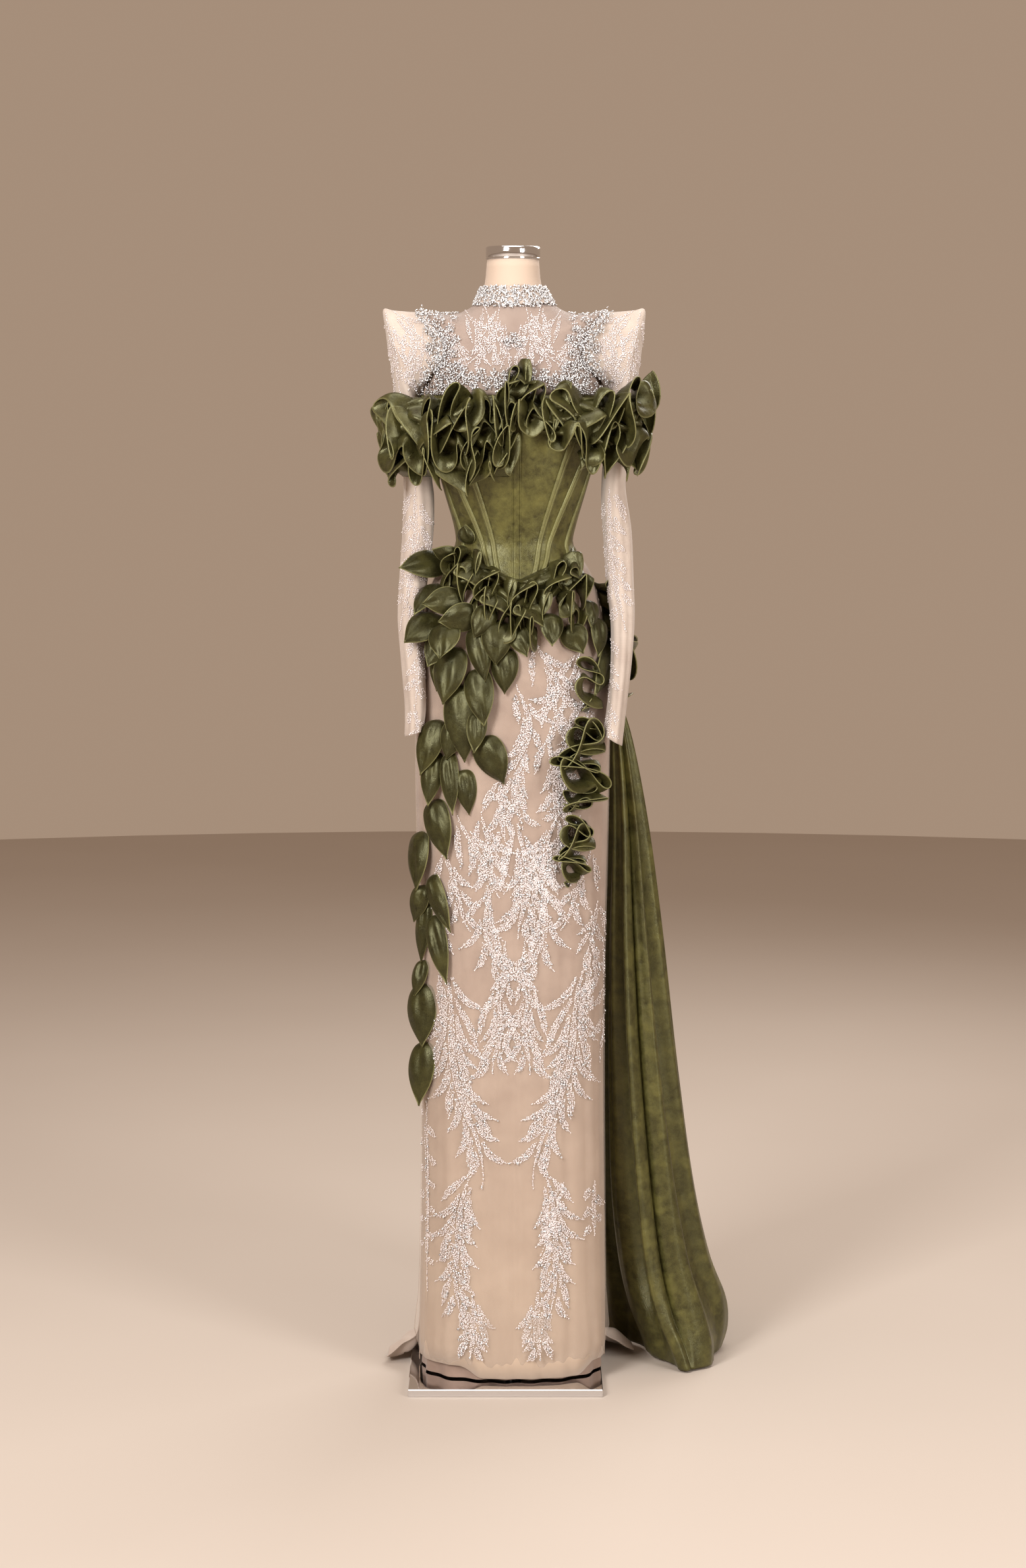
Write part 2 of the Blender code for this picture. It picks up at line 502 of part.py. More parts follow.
def outward(row, turn):
    """Level direction away from the body."""
    ring = blend(BODY, row)
    depth = ring.front if cos(turn) > 0 else ring.back
    return section_out(ring.half_width, depth, ring.square, turn)


def corset_foot(turn):
    """Height of the corset's lower edge, a shallow V with its point at the busk."""
    reach = (abs(turn - BUSK_TURN) - BUSK_FLAT) / CORSET_V_TURN
    reach = min(max(reach, 0.0), 1.0)
    return CORSET_FOOT + CORSET_V_RISE * reach


def face_out(grid, closed):
    """Turns a sheet's faces away from the gown's axis, or a tube's away from its middle."""
    grid.normal_update()
    middle = sum((v.co for v in grid.verts), Vector()) / len(grid.verts)
    outwards = 0.0
    for face in grid.faces:
        centre = face.calc_center_median()
        away = centre - middle if closed else Vector((centre.x, centre.y, 0.0))
        outwards += face.normal.dot(away) * face.calc_area()
    if outwards < 0.0:
        bmesh.ops.reverse_faces(grid, faces=grid.faces)


def cloth(name, point, columns, rows, wall, finish, collection, frame,
          closed=False, offset=1.0, raised=None, raised_wall=None):
    """A cloth wall: a grid laid on point(u, v), closed into a tube if asked, then thickened.

    raised(u, v) gives 1 where the wall has its raised thickness and 0 where it is plain.
    """
    grid = bmesh.new()
    bmesh.ops.create_grid(grid, x_segments=columns, y_segments=rows, size=0.5)
    weights = []
    for vertex in grid.verts:
        u, v = vertex.co.x + 0.5, vertex.co.y + 0.5
        weights.append(raised(u, v) if raised else 0.0)
        vertex.co = point(u, v)
    if closed:
        bmesh.ops.remove_doubles(grid, verts=grid.verts, dist=0.00002)
    face_out(grid, closed)
    mesh = bpy.data.meshes.new(name)
    grid.to_mesh(mesh)
    grid.free()
    part = add_object(name, mesh, finish, collection, frame)
    thick = part.modifiers.new("wall", "SOLIDIFY")
    thick.thickness = raised_wall if raised else wall
    thick.offset = offset
    thick.use_quality_normals = True
    if raised:
        group = part.vertex_groups.new(name="raised")
        for index, weight in enumerate(weights):
            group.add([index], weight, "REPLACE")
        thick.vertex_group = group.name
        thick.thickness_vertex_group = wall / raised_wall
    return part


def turned(name, profile, steps, finish, collection, frame):
    """A solid of revolution about Z from (radius, z) pairs that start and end on the axis."""
    mesh = bpy.data.meshes.new(name)
    outline = bmesh.new()
    points = [outline.verts.new((radius, 0.0, z)) for radius, z in profile]
    for first, second in zip(points, points[1:]):
        outline.edges.new((first, second))
    outline.to_mesh(mesh)
    outline.free()
    part = add_object(name, mesh, finish, collection, frame)
    screw = part.modifiers.new("turn", "SCREW")
    screw.axis = "Z"
    screw.steps = steps
    screw.render_steps = steps
    screw.use_merge_vertices = True
    screw.merge_threshold = 0.0001
    return part


def make_base(collection, frame):
    """Mirror-polished square plate, the pole on its flange and the neck cap."""
    bpy.ops.mesh.primitive_cube_add(size=1.0, location=(PLATE_CENTRE_X, 0.0, PLATE_THICK / 2))
    plate = bpy.context.object
    for vertex in plate.data.vertices:
        vertex.co = Vector((
            vertex.co.x * PLATE_WIDTH, vertex.co.y * PLATE_DEPTH, vertex.co.z * PLATE_THICK))
    tidy_object(plate, "base_plate", "steel", collection, frame)
    edge = plate.modifiers.new("edge", "BEVEL")
    edge.width = 0.0012
    edge.segments = 1
    foot = PLATE_THICK + SEAM
    top = FORM_BOTTOM - SEAM
    turned("pole", [
        (0.0, top), (POLE_RADIUS, top), (POLE_RADIUS, foot + FLANGE_HEIGHT),
        (FLANGE_RADIUS - 0.002, foot + FLANGE_HEIGHT), (FLANGE_RADIUS, foot + FLANGE_HEIGHT - 0.002),
        (FLANGE_RADIUS, foot), (0.0, foot),
    ], 20, "steel", collection, frame)
    cap_foot = NECK_TOP + SEAM
    turned("neck_cap", [
        (0.0, CAP_TOP), (CAP_RADIUS - 0.006, CAP_TOP), (CAP_RADIUS - 0.0015, CAP_TOP - 0.0015),
        (CAP_RADIUS, CAP_TOP - 0.004), (CAP_RADIUS, cap_foot + 0.001), (CAP_RADIUS - 0.001, cap_foot),
        (0.0, cap_foot),
    ], 24, "chrome", collection, frame)


def make_form(collection, frame):
    """The limbless torso inside the gown, one closed solid from the neck to below the hips."""
    segments = FORM_SEGMENTS
    levels = [step / 2 for step in range(2 * FORM_NECK_ROWS)]
    levels += range(FORM_NECK_ROWS, FORM_LAST_ROW)
    levels += [FORM_LAST_ROW - 0.3]
    rings = []
    for level in levels:
        ring = []
        for step in range(segments):
            turn = 2 * pi * step / segments
            slack = blend(FORM_SLACK, level)
            point = body_point(level, turn, -EASE - slack.inside)
            point.z -= slack.below * sin(turn) ** 2
            ring.append(point)
        rings.append(ring)
    for share, z in FORM_ROUNDING:
        ring = []
        for step in range(segments):
            turn = 2 * pi * step / segments
            point = body_point(FORM_LAST_ROW, turn, -EASE - FORM_SLACK[-1].inside)
            ring.append(Vector((point.x * share, point.y * share, z)))
        rings.append(ring)
    for point in rings[0]:
        point.z = NECK_TOP
    mesh = bpy.data.meshes.new("form_torso")
    body = bmesh.new()
    made = [[body.verts.new(point) for point in ring] for ring in rings]
    for upper, lower in zip(made, made[1:]):
        for step in range(segments):
            after = (step + 1) % segments
            body.faces.new((upper[step], lower[step], lower[after], upper[after]))
    body.faces.new(made[0])
    body.faces.new(list(reversed(made[-1])))
    bmesh.ops.recalc_face_normals(body, faces=body.faces)
    body.to_mesh(mesh)
    body.free()
    add_object("form_torso", mesh, "linen", collection, frame)


def armhole_reach(row, underarm):
    """Turn of the armhole's edge at a row: 90 degrees at the shoulder seam, drawn in below it,
    and then out again to 90 degrees less the underarm's share."""
    share = (row - SHOULDER_ROW) / (UNDERARM_ROW - SHOULDER_ROW)
    if share <= 0.0:
        return pi / 2
    if share < 0.5:
        return pi / 2 - ARMHOLE_CUT * sin(pi * share) ** ARMHOLE_ROUND
    lower = min(2.0 * share - 1.0, 1.0)
    return pi / 2 - ARMHOLE_CUT + (ARMHOLE_CUT - underarm) * lower * lower


def yoke_point(u, v, facing):
    """Point of the front (facing 1) or back (facing -1) yoke, v from the neck down."""
    row = COLLAR_BOTTOM_ROW + (UNDERARM_ROW - COLLAR_BOTTOM_ROW) * v
    turn = (2 * u - 1) * armhole_reach(row, YOKE_UNDERARM)
    if facing < 0:
        turn = pi - turn
    point = body_point(row, turn)
    point.y -= facing * SEAM / 2
    point.z += YOKE_LIFT
    return point


def make_yoke(collection, frame):
    """Front and back of the net yoke, and the beaded collar band."""
    for name, facing in (("yoke_front", 1), ("yoke_back", -1)):
        cloth(name, lambda u, v, facing=facing: yoke_point(u, v, facing), 12, 9, YOKE_WALL,
              "beaded_net", collection, frame)

    def collar_point(u, v):
        point = body_point(COLLAR_BOTTOM_ROW, 2 * pi * u)
        top = body_point(1.0, 2 * pi * u)
        top.z = COLLAR_TOP
        foot = Vector(point)
        foot.z += COLLAR_LIFT
        return foot.lerp(top, v)

    cloth("collar", collar_point, 24, 2, COLLAR_WALL, "crystal", collection, frame, closed=True)


def armhole_point(around, side):
    """Point of the armhole's edge, around from the top over the front to the foot and back."""
    share = (1 - cos(around)) / 2
    row = SHOULDER_ROW + (UNDERARM_ROW - SHOULDER_ROW) * share
    turn = armhole_reach(row, 0.0)
    if sin(around) < 0:
        turn = pi - turn
    point = body_point(row, side * turn, YOKE_WALL)
    reach = point.x + side * (ARMHOLE_OUT + ARMHOLE_DRIFT * share)
    return Vector((reach, point.y, point.z + ARMHOLE_LIFT - ARMHOLE_DRIFT * share))


def make_sleeve(name, table, side, collection, frame):
    """One hanging net sleeve from the armhole over the peaked head to the open cuff."""
    def ring_point(row, around):
        ring = blend(table, row)
        outer = Vector((side * ring.outer_x, 0.0, ring.outer_z))
        inner = Vector((side * ring.inner_x, 0.0, ring.inner_z))
        middle = (outer + inner) / 2
        reach = (outer - inner) / 2
        narrow = 1.0 - ring.pinch * max(0.0, cos(around)) ** 2
        point = middle + reach * cos(around)
        point.y = ring.mid_y - ring.half_depth * sin(around) * narrow
        return point

    def point(u, v):
        around = 2 * pi * u
        row = v * len(table) - 1.0
        if row < 0.0:
            return armhole_point(around, side).lerp(ring_point(0.0, around), row + 1.0)
        return ring_point(row, around)

    cloth(name, point, 12, len(table), SLEEVE_WALL, "beaded_net", collection, frame,
          closed=True)


def corset_columns():
    """Columns of a front corset panel from the busk to the side seam: turn at the bottom, at
    the top, and 1 where the column is on a channel."""
    columns = [(0.0, 0.0, 0.0)]
    for channel in CHANNELS:
        for step, on_channel in ((-1.0, 0.0), (-0.5, 1.0), (0.5, 1.0), (1.0, 0.0)):
            shift = step * channel.half_turn
            columns.append((channel.bottom_turn + shift, channel.top_turn + shift, on_channel))
    columns.append((90.0, 90.0, 0.0))
    filled = columns[:1]
    for before, after in zip(columns, columns[1:]):
        parts = 1 + int(max(after[0] - before[0], after[1] - before[1]) / WIDEST_COLUMN)
        for part in range(1, parts):
            share = part / parts
            filled.append((before[0] + (after[0] - before[0]) * share,
                           before[1] + (after[1] - before[1]) * share, 0.0))
        filled.append(after)
    return filled


def make_corset(collection, frame):
    """Two boned fronts, the busk strip between them and the back."""
    columns = corset_columns()
    last = len(columns) - 1

    def panel_point(u, v, side):
        bottom, top, _ = columns[round(u * last)]
        edge = turn_at(BUSK_X + side * (BUSK_HALF_WIDTH + SEAM), row_at(CORSET_FOOT))
        foot = corset_foot(edge + (side * pi / 2 - edge) * bottom / 90)
        z = CORSET_TOP + (foot - CORSET_TOP) * v
        row = row_at(z)
        edge = turn_at(BUSK_X + side * (BUSK_HALF_WIDTH + SEAM), row)
        share = max(0.0, (z - foot) / (CORSET_TOP - foot))
        across = (bottom + (top - bottom) * share ** CHANNEL_FAN) / 90
        point = body_point(row, edge + (side * pi / 2 - edge) * across)
        point.y -= SEAM / 2
        return point

    for name, side in (("corset_front_right", -1), ("corset_front_left", 1)):
        cloth(name, lambda u, v, side=side: panel_point(u, v, side), last, 9, CORSET_WALL,
              "velvet", collection, frame,
              raised=lambda u, v: columns[round(u * last)][2],
              raised_wall=CORSET_WALL + CHANNEL_RISE)

    def busk_point(u, v):
        z = BUSK_TOP + (corset_foot(BUSK_TURN) - BUSK_TOP) * v
        row = row_at(z)
        x = BUSK_X + (2 * u - 1) * BUSK_HALF_WIDTH
        return body_point(row, turn_at(x, row))

    cloth("corset_busk", busk_point, 2, 9, CORSET_WALL + BUSK_RISE, "velvet", collection, frame)

    def back_point(u, v):
        foot = corset_foot(pi)
        row = row_at(CORSET_TOP + (foot - CORSET_TOP) * v)
        found = body_point(row, pi / 2 + pi * u)
        found.y += SEAM / 2
        return found

    cloth("corset_back", back_point, 12, 9, CORSET_WALL, "velvet", collection, frame)


def make_skirt(collection, frame):
    """Front and back of the narrow skirt, from the corset's lower edge to the hem."""
    def point(u, v, facing):
        turn = (2 * u - 1) * pi / 2
        if facing < 0:
            turn = pi - turn
        open_seam = WAIST_SEAM
        if facing > 0 and abs(turn) < FRONT_SEAM_TURN:
            open_seam += FRONT_SEAM
        top = corset_foot(turn) - open_seam
        hem = HEM + HEM_WAVE * sin(5 * turn)
        z = top + (hem - top) * v ** SKIRT_ROW_GROWTH
        found = body_point(row_at(z), turn)
        found.y -= facing * SEAM / 2
        return found

    for name, facing in (("skirt_front", 1), ("skirt_back", -1)):
        cloth(name, lambda u, v, facing=facing: point(u, v, facing), 16, 8, SKIRT_WALL,
              "beaded_net" if facing > 0 else "net", collection, frame)


def girdle(turn, z):
    """Where the bust ruffles are sewn: round the corset and the outside of both sleeves."""
    ring = blend(BODY, row_at(min(z, CORSET_TOP)))
    table = RIGHT_SLEEVE if turn < 0 else LEFT_SLEEVE
    elbow = table[GIRDLE_SLEEVE_ROW]
    sleeve = blend(table, GIRDLE_SLEEVE_ROW + (elbow.outer_z - z) / GIRDLE_ROW_STEP)
    side = sleeve.outer_x + SLEEVE_WALL + GIRDLE_CLEAR + BAND_INSET
    depth = GIRDLE_BACK
    if cos(turn) > 0:
        depth = ring.front + CORSET_WALL + BUSK_RISE + BUSK_CLEAR + BAND_INSET
    x, y = section(side, depth, GIRDLE_SQUARE, turn)
    return Vector((x, y, z)), section_out(side, depth, GIRDLE_SQUARE, turn)


def band_point(u, v, side):
    """Point of the velvet band under a bust ruffle, from the busk round the sleeve."""
    turns = BAND_TURNS_RIGHT if side < 0 else BAND_TURNS_LEFT
    turn = turns[0] + (turns[1] - turns[0]) * u
    toward_busk = max(0.0, cos(turn))
    foot = BAND_FOOT + (0.0 if side < 0 else BAND_SLANT * toward_busk)
    point, out = girdle(turn, foot + (BAND_TOP - foot) * v)
    return point - out * BAND_INSET


def make_bands(collection, frame):
    """The two velvet bands that carry the bust ruffles."""
    for name, side in (("bust_band_right", -1), ("bust_band_left", 1)):
        cloth(name, lambda u, v, side=side: band_point(u, v, side), 18, 3, BAND_WALL, "velvet",
              collection, frame)


def hip_line(turn, z):
    """Where the hip ruffles are sewn: on the corset and the skirt."""
    row = row_at(z)
    on_corset = z > corset_foot(turn) - WAIST_SEAM
    wall = CORSET_WALL + CHANNEL_RISE + SEWN if on_corset else SKIRT_WALL + SKIRT_SEWN
    return body_point(row, turn, wall), outward(row, turn)


def garland_line(turn, z):
    """Where the garland's hanging strips are sewn: on the skirt."""
    row = row_at(z)
    return body_point(row, turn, SKIRT_WALL + GARLAND_SEWN), outward(row, turn)


def yoke_line(turn, z):
    """Where the middle bust ruffle is sewn: on the yoke just above the corset."""
    row = row_at(z, COLLAR_BOTTOM_ROW)
    return body_point(row, turn, YOKE_WALL + YOKE_LIFT + SEWN), outward(row, turn)


def ruffle_point(path, carrier, hanging, waves, u, v):
    """Point of a ruffle: u along its sewn edge, v from that edge to the waving free edge.

    A ruffle's waves follow the turn around the gown, so that rows of one strip nest in each
    other. A hanging one has its waves down its length and sways sideways.
    """
    tack = blend(path, u * (len(path) - 1))
    here, out = carrier(radians(tack.turn), tack.z)
    up = Vector((0.0, 0.0, 1.0))
    around = up.cross(out)
    lean = radians(tack.lean)
    stand = out * cos(lean) + up * sin(lean)
    sway, along = up * cos(lean) - out * sin(lean), around
    phase = 2 * pi * waves * u
    if hanging:
        sway, along = around, up
    else:
        phase = 2 * pi * tack.turn / waves
    uneven = 0.85 + 0.15 * sin(0.37 * phase + 1.3) + 0.10 * sin(0.83 * phase)
    spread = RUFFLE_SEWN + (1.0 - RUFFLE_SEWN) * v
    wave = sin(phase + 0.5 * sin(0.31 * phase)) * uneven
    loop = -(HANGING_LOOP if hanging else RUFFLE_LOOP) * sin(2 * phase)
    height = tack.height * (1 + 0.10 * sin(0.61 * phase))
    return (here + stand * (height * v) + sway * (tack.swing * spread * wave)
            + along * (tack.swing * spread * loop))


def make_ruffle(name, path, carrier, waves, columns, collection, frame, hanging=False):
    """One velvet ruffle as a standing wall."""
    cloth(name, lambda u, v: ruffle_point(path, carrier, hanging, waves, u, v), columns, 1,
          RUFFLE_WALL, "velvet", collection, frame, offset=0.0)


def leaf_breadth(v):
    """Share of a leaf's full width from its base (0) to its tip (1)."""
    return sin(pi * (0.04 + 0.945 * v) ** 0.86) ** 0.8


def leaf_frame(row):
    """Base of a leaf, the way from it down to its seat on the gown, and the directions along,
    across and out of it."""
    level = row_at(row.base_z)
    turn = turn_at(row.base_x, level)
    base = body_point(level, turn, SKIRT_WALL + LEAF_WALL + row.base_out)
    tip = Vector((row.tip_x, -row.tip_front, row.tip_z))
    along = tip - base
    away = outward(level, turn)
    across = along.cross(away + Vector((0.0, -LEAF_TO_FRONT, 0.0))).normalized()
    out = across.cross(along).normalized()
    on_corset = row.base_z > corset_foot(turn) - WAIST_SEAM
    wall = CORSET_WALL + CHANNEL_RISE if on_corset else SKIRT_WALL
    edge = row.width * leaf_breadth(0.0) * (abs(across.dot(away)) / 2 + LEAF_CUP * out.dot(away))
    seat = body_point(level, turn, wall + LEAF_WALL / 2 + SEAM + edge - row.sink)
    return base, seat - base, along, across, out


def leaf_point(row, u, v):
    """Point of a padded leaf: v from its sewn base to its tip, u across."""
    base, drop, along, across, out = leaf_frame(row)
    breadth = leaf_breadth(v)
    half = max(row.width / 2 * breadth, LEAF_TIP)
    side = 2 * u - 1
    bow = LEAF_BOW * along.length * sin(pi * v)
    fall = LEAF_CUP * row.width * breadth * side * side
    settle = max(0.0, 1.0 - v / LEAF_STEM) ** 2
    return base + drop * settle + along * v + across * (half * side) + out * (bow - fall)


def make_leaves(collection, frame):
    """The padded velvet leaves, numbered from the waist down."""
    for number, row in enumerate(LEAVES, start=1):
        cloth(f"leaf_{number:02d}", lambda u, v, row=row: leaf_point(row, u, v), 2, 5, LEAF_WALL,
              "velvet_leaf", collection, frame, offset=0.0)


def train_point(u, v):
    """Point of the velvet train: u from behind the skirt round the front fold, v downwards."""
    row = blend(TRAIN, v * (len(TRAIN) - 1))
    plan = [Plan(row.start_x, row.start_y), Plan(row.side_x, row.side_y),
            Plan(row.fold_x, row.fold_y), Plan(row.outer_x, row.outer_y),
            Plan(row.end_x, row.end_y)]
    last = len(plan) - 1
    here = blend(plan, u * last)
    ahead = Vector(blend(plan, min(u + TRAIN_STEP, 1.0) * last))
    behind = Vector(blend(plan, max(u - TRAIN_STEP, 0.0) * last))
    run = (ahead - behind).normalized()
    ripple = row.ripple * sin(2 * pi * TRAIN_RIPPLES * u + 0.8 * sin(3 * v))
    ripple += row.ripple * 0.5 * sin(2 * pi * TRAIN_BROAD_FOLDS * u + 2.0 * v)
    return Vector((here.x + run.y * ripple, here.y - run.x * ripple, row.z))


def make_trains(collection, frame):
    """The velvet train at the left and the net sweep behind the plate."""
    cloth("velvet_train", train_point, 24, 10, TRAIN_WALL, "velvet", collection, frame, offset=0.0)

    def net_point(u, v):
        sweep = blend(NET_SWEEP, v * (len(NET_SWEEP) - 1))
        turn = radians(NET_START + NET_COLUMN * NET_COLUMNS * u)
        level = row_at(max(sweep.z, HEM + NET_ABOVE_HEM))
        foot = body_point(level, turn, SKIRT_WALL + NET_CLEAR)
        away = outward(level, turn)
        ripple = sweep.ripple * (1.0 + sin(2 * pi * NET_RIPPLES * u + 0.9 * sin(7 * u)))
        point = foot + away * (sweep.run * (1.0 - NET_SIDE * sin(turn) ** 2))
        point.z = sweep.z + ripple
        over_x = abs(point.x - PLATE_CENTRE_X) < PLATE_WIDTH / 2 + PLATE_MARGIN
        over_y = abs(point.y) < PLATE_DEPTH / 2 + PLATE_MARGIN
        if over_x and over_y:
            point.z = max(point.z, PLATE_THICK + PLATE_CLEAR)
        return point

    cloth("net_train", net_point, NET_COLUMNS, len(NET_SWEEP) - 1, NET_WALL, "net", collection,
          frame)


def build():
    """Clears the scene and makes the gown."""
    for old in list(bpy.data.objects):
        bpy.data.objects.remove(old)
    collection = bpy.data.collections.new("column_evening_gown")
    bpy.context.scene.collection.children.link(collection)
    frame = bpy.data.objects.new("gown_frame", None)
    collection.objects.link(frame)
    make_base(collection, frame)
    make_form(collection, frame)
    make_yoke(collection, frame)
    make_sleeve("sleeve_right", RIGHT_SLEEVE, -1, collection, frame)
    make_sleeve("sleeve_left", LEFT_SLEEVE, 1, collection, frame)
    make_corset(collection, frame)
    make_skirt(collection, frame)
    make_bands(collection, frame)
    for name, path, carrier, columns in (
            ("bust_ruffle_right", BUST_RUFFLE_RIGHT, girdle, 176),
            ("bust_ruffle_left", BUST_RUFFLE_LEFT, girdle, 140),
            ("bust_ruffle_centre", BUST_RUFFLE_CENTRE, yoke_line, 12),
            ("hip_ruffle_right", HIP_RUFFLE_RIGHT, hip_line, 36),
            ("hip_ruffle_middle", HIP_RUFFLE_MIDDLE, hip_line, 30),
            ("hip_ruffle_centre", HIP_RUFFLE_CENTRE, hip_line, 40),
            ("hip_ruffle_left", HIP_RUFFLE_LEFT, hip_line, 42)):
        make_ruffle(name, path, carrier, RUFFLE_WAVE, columns, collection, frame)
    for name, path, waves in (
            ("garland_upper", GARLAND_UPPER, 2), ("garland_bunch", GARLAND_BUNCH, 3),
            ("garland_tail", GARLAND_TAIL, 3), ("garland_back", GARLAND_BACK, 4)):
        make_ruffle(name, path, garland_line, waves, waves * 12, collection, frame, hanging=True)
    make_leaves(collection, frame)
    make_trains(collection, frame)


build()
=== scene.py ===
from collections import namedtuple
from math import cos, pi, radians, sin

import bmesh
import bpy
import numpy as np
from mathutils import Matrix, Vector
from mathutils.bvhtree import BVHTree


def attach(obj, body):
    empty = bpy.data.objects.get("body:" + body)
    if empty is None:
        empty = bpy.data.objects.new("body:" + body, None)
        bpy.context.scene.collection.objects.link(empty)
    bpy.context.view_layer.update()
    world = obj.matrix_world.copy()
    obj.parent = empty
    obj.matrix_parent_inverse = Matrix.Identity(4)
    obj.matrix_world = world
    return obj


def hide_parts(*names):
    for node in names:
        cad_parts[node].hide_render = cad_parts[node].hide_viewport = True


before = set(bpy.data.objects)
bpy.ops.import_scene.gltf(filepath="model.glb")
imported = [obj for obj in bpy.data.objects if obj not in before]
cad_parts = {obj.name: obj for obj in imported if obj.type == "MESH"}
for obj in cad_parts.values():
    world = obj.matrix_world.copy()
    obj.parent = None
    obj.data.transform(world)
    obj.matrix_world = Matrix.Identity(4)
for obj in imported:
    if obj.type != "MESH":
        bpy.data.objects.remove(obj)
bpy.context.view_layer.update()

# Sizes shared with the solids
CORSET_WALL = 0.0022
CHANNEL_RISE = 0.0014
YOKE_WALL = 0.0012
SLEEVE_WALL = 0.0012
SKIRT_WALL = 0.0014
LEAF_WALL = 0.0026
BAND_INSET = 0.0024
CORSET_TOP = 1.560
CORSET_FOOT = 1.272
CORSET_V_RISE = 0.046
CORSET_V_TURN = radians(60)
BUSK_TOP = 1.556
BUSK_TURN = radians(4)
BUSK_FLAT = radians(4)
BUSK_X = 0.0055
BUSK_HALF_WIDTH = 0.0062
BUSK_RISE = 0.0016
COLLAR_ROW, SHOULDER_ROW, UNDERARM_ROW = 2, 5, 8
COLLAR_TOP = 1.7270
ARMHOLE_CUT = radians(34)
YOKE_UNDERARM = radians(14)
WAIST_SEAM = 0.0011
SIDE_GAP = 0.00015
HEM = 0.022

# Row of BODY in the middle of the shoulder's slope, where a wall stands up as well as out
SLOPE_ROW = 3.5

# Points of one piece that lie closer than this are sewn together
MERGE = 0.00002

# Steps in which the height of the gown's front is looked up
ROW_STEPS = 2400

# Rings of the cloth's inner face from the neck to the hem. A ring is level below the
# underarm and rises to the shoulder above it, so its side, front and back have their own z.
Ring = namedtuple("Ring", "half_width front back z_side z_front z_back centre_x square")


def level_ring(half_width, front, back, z, centre_x, square):
    """A ring at one height all round."""
    return Ring(half_width, front, back, z, z, z, centre_x, square)


BODY = [
    level_ring(0.0412, 0.0430, 0.0430, 1.7690, 0.000, 2.0),
    level_ring(0.0458, 0.0480, 0.0470, 1.7275, 0.000, 2.0),
    Ring(0.0600, 0.0590, 0.0600, 1.7005, 1.6970, 1.7040, 0.002, 2.0),
    Ring(0.0880, 0.0690, 0.0750, 1.6850, 1.6730, 1.6830, 0.002, 2.2),
    Ring(0.1150, 0.0770, 0.0860, 1.6835, 1.6510, 1.6660, 0.002, 2.4),
    Ring(0.1390, 0.0840, 0.0940, 1.6850, 1.6270, 1.6450, 0.001, 2.5),
    Ring(0.1460, 0.0900, 0.1000, 1.6560, 1.6040, 1.6160, 0.001, 2.5),
    Ring(0.1455, 0.0980, 0.1030, 1.6130, 1.5840, 1.5900, 0.001, 2.4),
    level_ring(0.1410, 0.1070, 0.1020, 1.5600, 0.002, 2.3),
    level_ring(0.1350, 0.1170, 0.0970, 1.5050, 0.003, 2.3),
    level_ring(0.1190, 0.1060, 0.0910, 1.4470, 0.003, 2.2),
    level_ring(0.1070, 0.0940, 0.0830, 1.4050, 0.003, 2.2),
    level_ring(0.0945, 0.0820, 0.0750, 1.3620, 0.003, 2.2),
    level_ring(0.0895, 0.0770, 0.0710, 1.3330, 0.002, 2.2),
    level_ring(0.0960, 0.0785, 0.0760, 1.3180, 0.002, 2.2),
    level_ring(0.1090, 0.0830, 0.0860, 1.3010, 0.001, 2.2),
    level_ring(0.1230, 0.0900, 0.0980, 1.2750, 0.000, 2.2),
    level_ring(0.1350, 0.0960, 0.1080, 1.2350, 0.000, 2.2),
    level_ring(0.1440, 0.1010, 0.1150, 1.1700, 0.000, 2.3),
    level_ring(0.1490, 0.1040, 0.1180, 1.0900, 0.000, 2.4),
    level_ring(0.1490, 0.1060, 0.1160, 0.9800, -0.001, 2.4),
    level_ring(0.1460, 0.1060, 0.1110, 0.8400, -0.001, 2.5),
    level_ring(0.1420, 0.1060, 0.1060, 0.6500, -0.001, 2.5),
    level_ring(0.1410, 0.1070, 0.1060, 0.4500, 0.000, 2.5),
    level_ring(0.1430, 0.1090, 0.1090, 0.2500, 0.000, 2.5),
    level_ring(0.1460, 0.1110, 0.1130, 0.0900, -0.001, 2.5),
    level_ring(0.1465, 0.1110, 0.1140, 0.0000, -0.002, 2.5),
]

# How much slimmer the form is than the cloth at each row of BODY, and how much lower its
# shoulders are: it touches at the neck and carries the yoke there
Slack = namedtuple("Slack", "inside below")
FORM_SLACK = [
    Slack(0.0, 0.0), Slack(0.0, 0.0), Slack(0.0, 0.0), Slack(0.0026, 0.0040),
    Slack(0.005, 0.012), Slack(0.008, 0.026), Slack(0.010, 0.022), Slack(0.008, 0.012),
    Slack(0.0045, 0.004), Slack(0.0045, 0.0), Slack(0.0045, 0.0), Slack(0.0040, 0.0),
] + [Slack(0.0060, 0.0)] * (len(BODY) - 12)

# Boning channels: turn in degrees of each channel's centre line at the corset's bottom and
# top edge, counted from the front; they fan out between the two
Channel = namedtuple("Channel", "bottom_turn top_turn half_turn")
CHANNELS = [
    Channel(11.5, 47.0, 2.4),
    Channel(21.0, 70.0, 2.4),
    Channel(56.0, 81.0, 1.8),
]

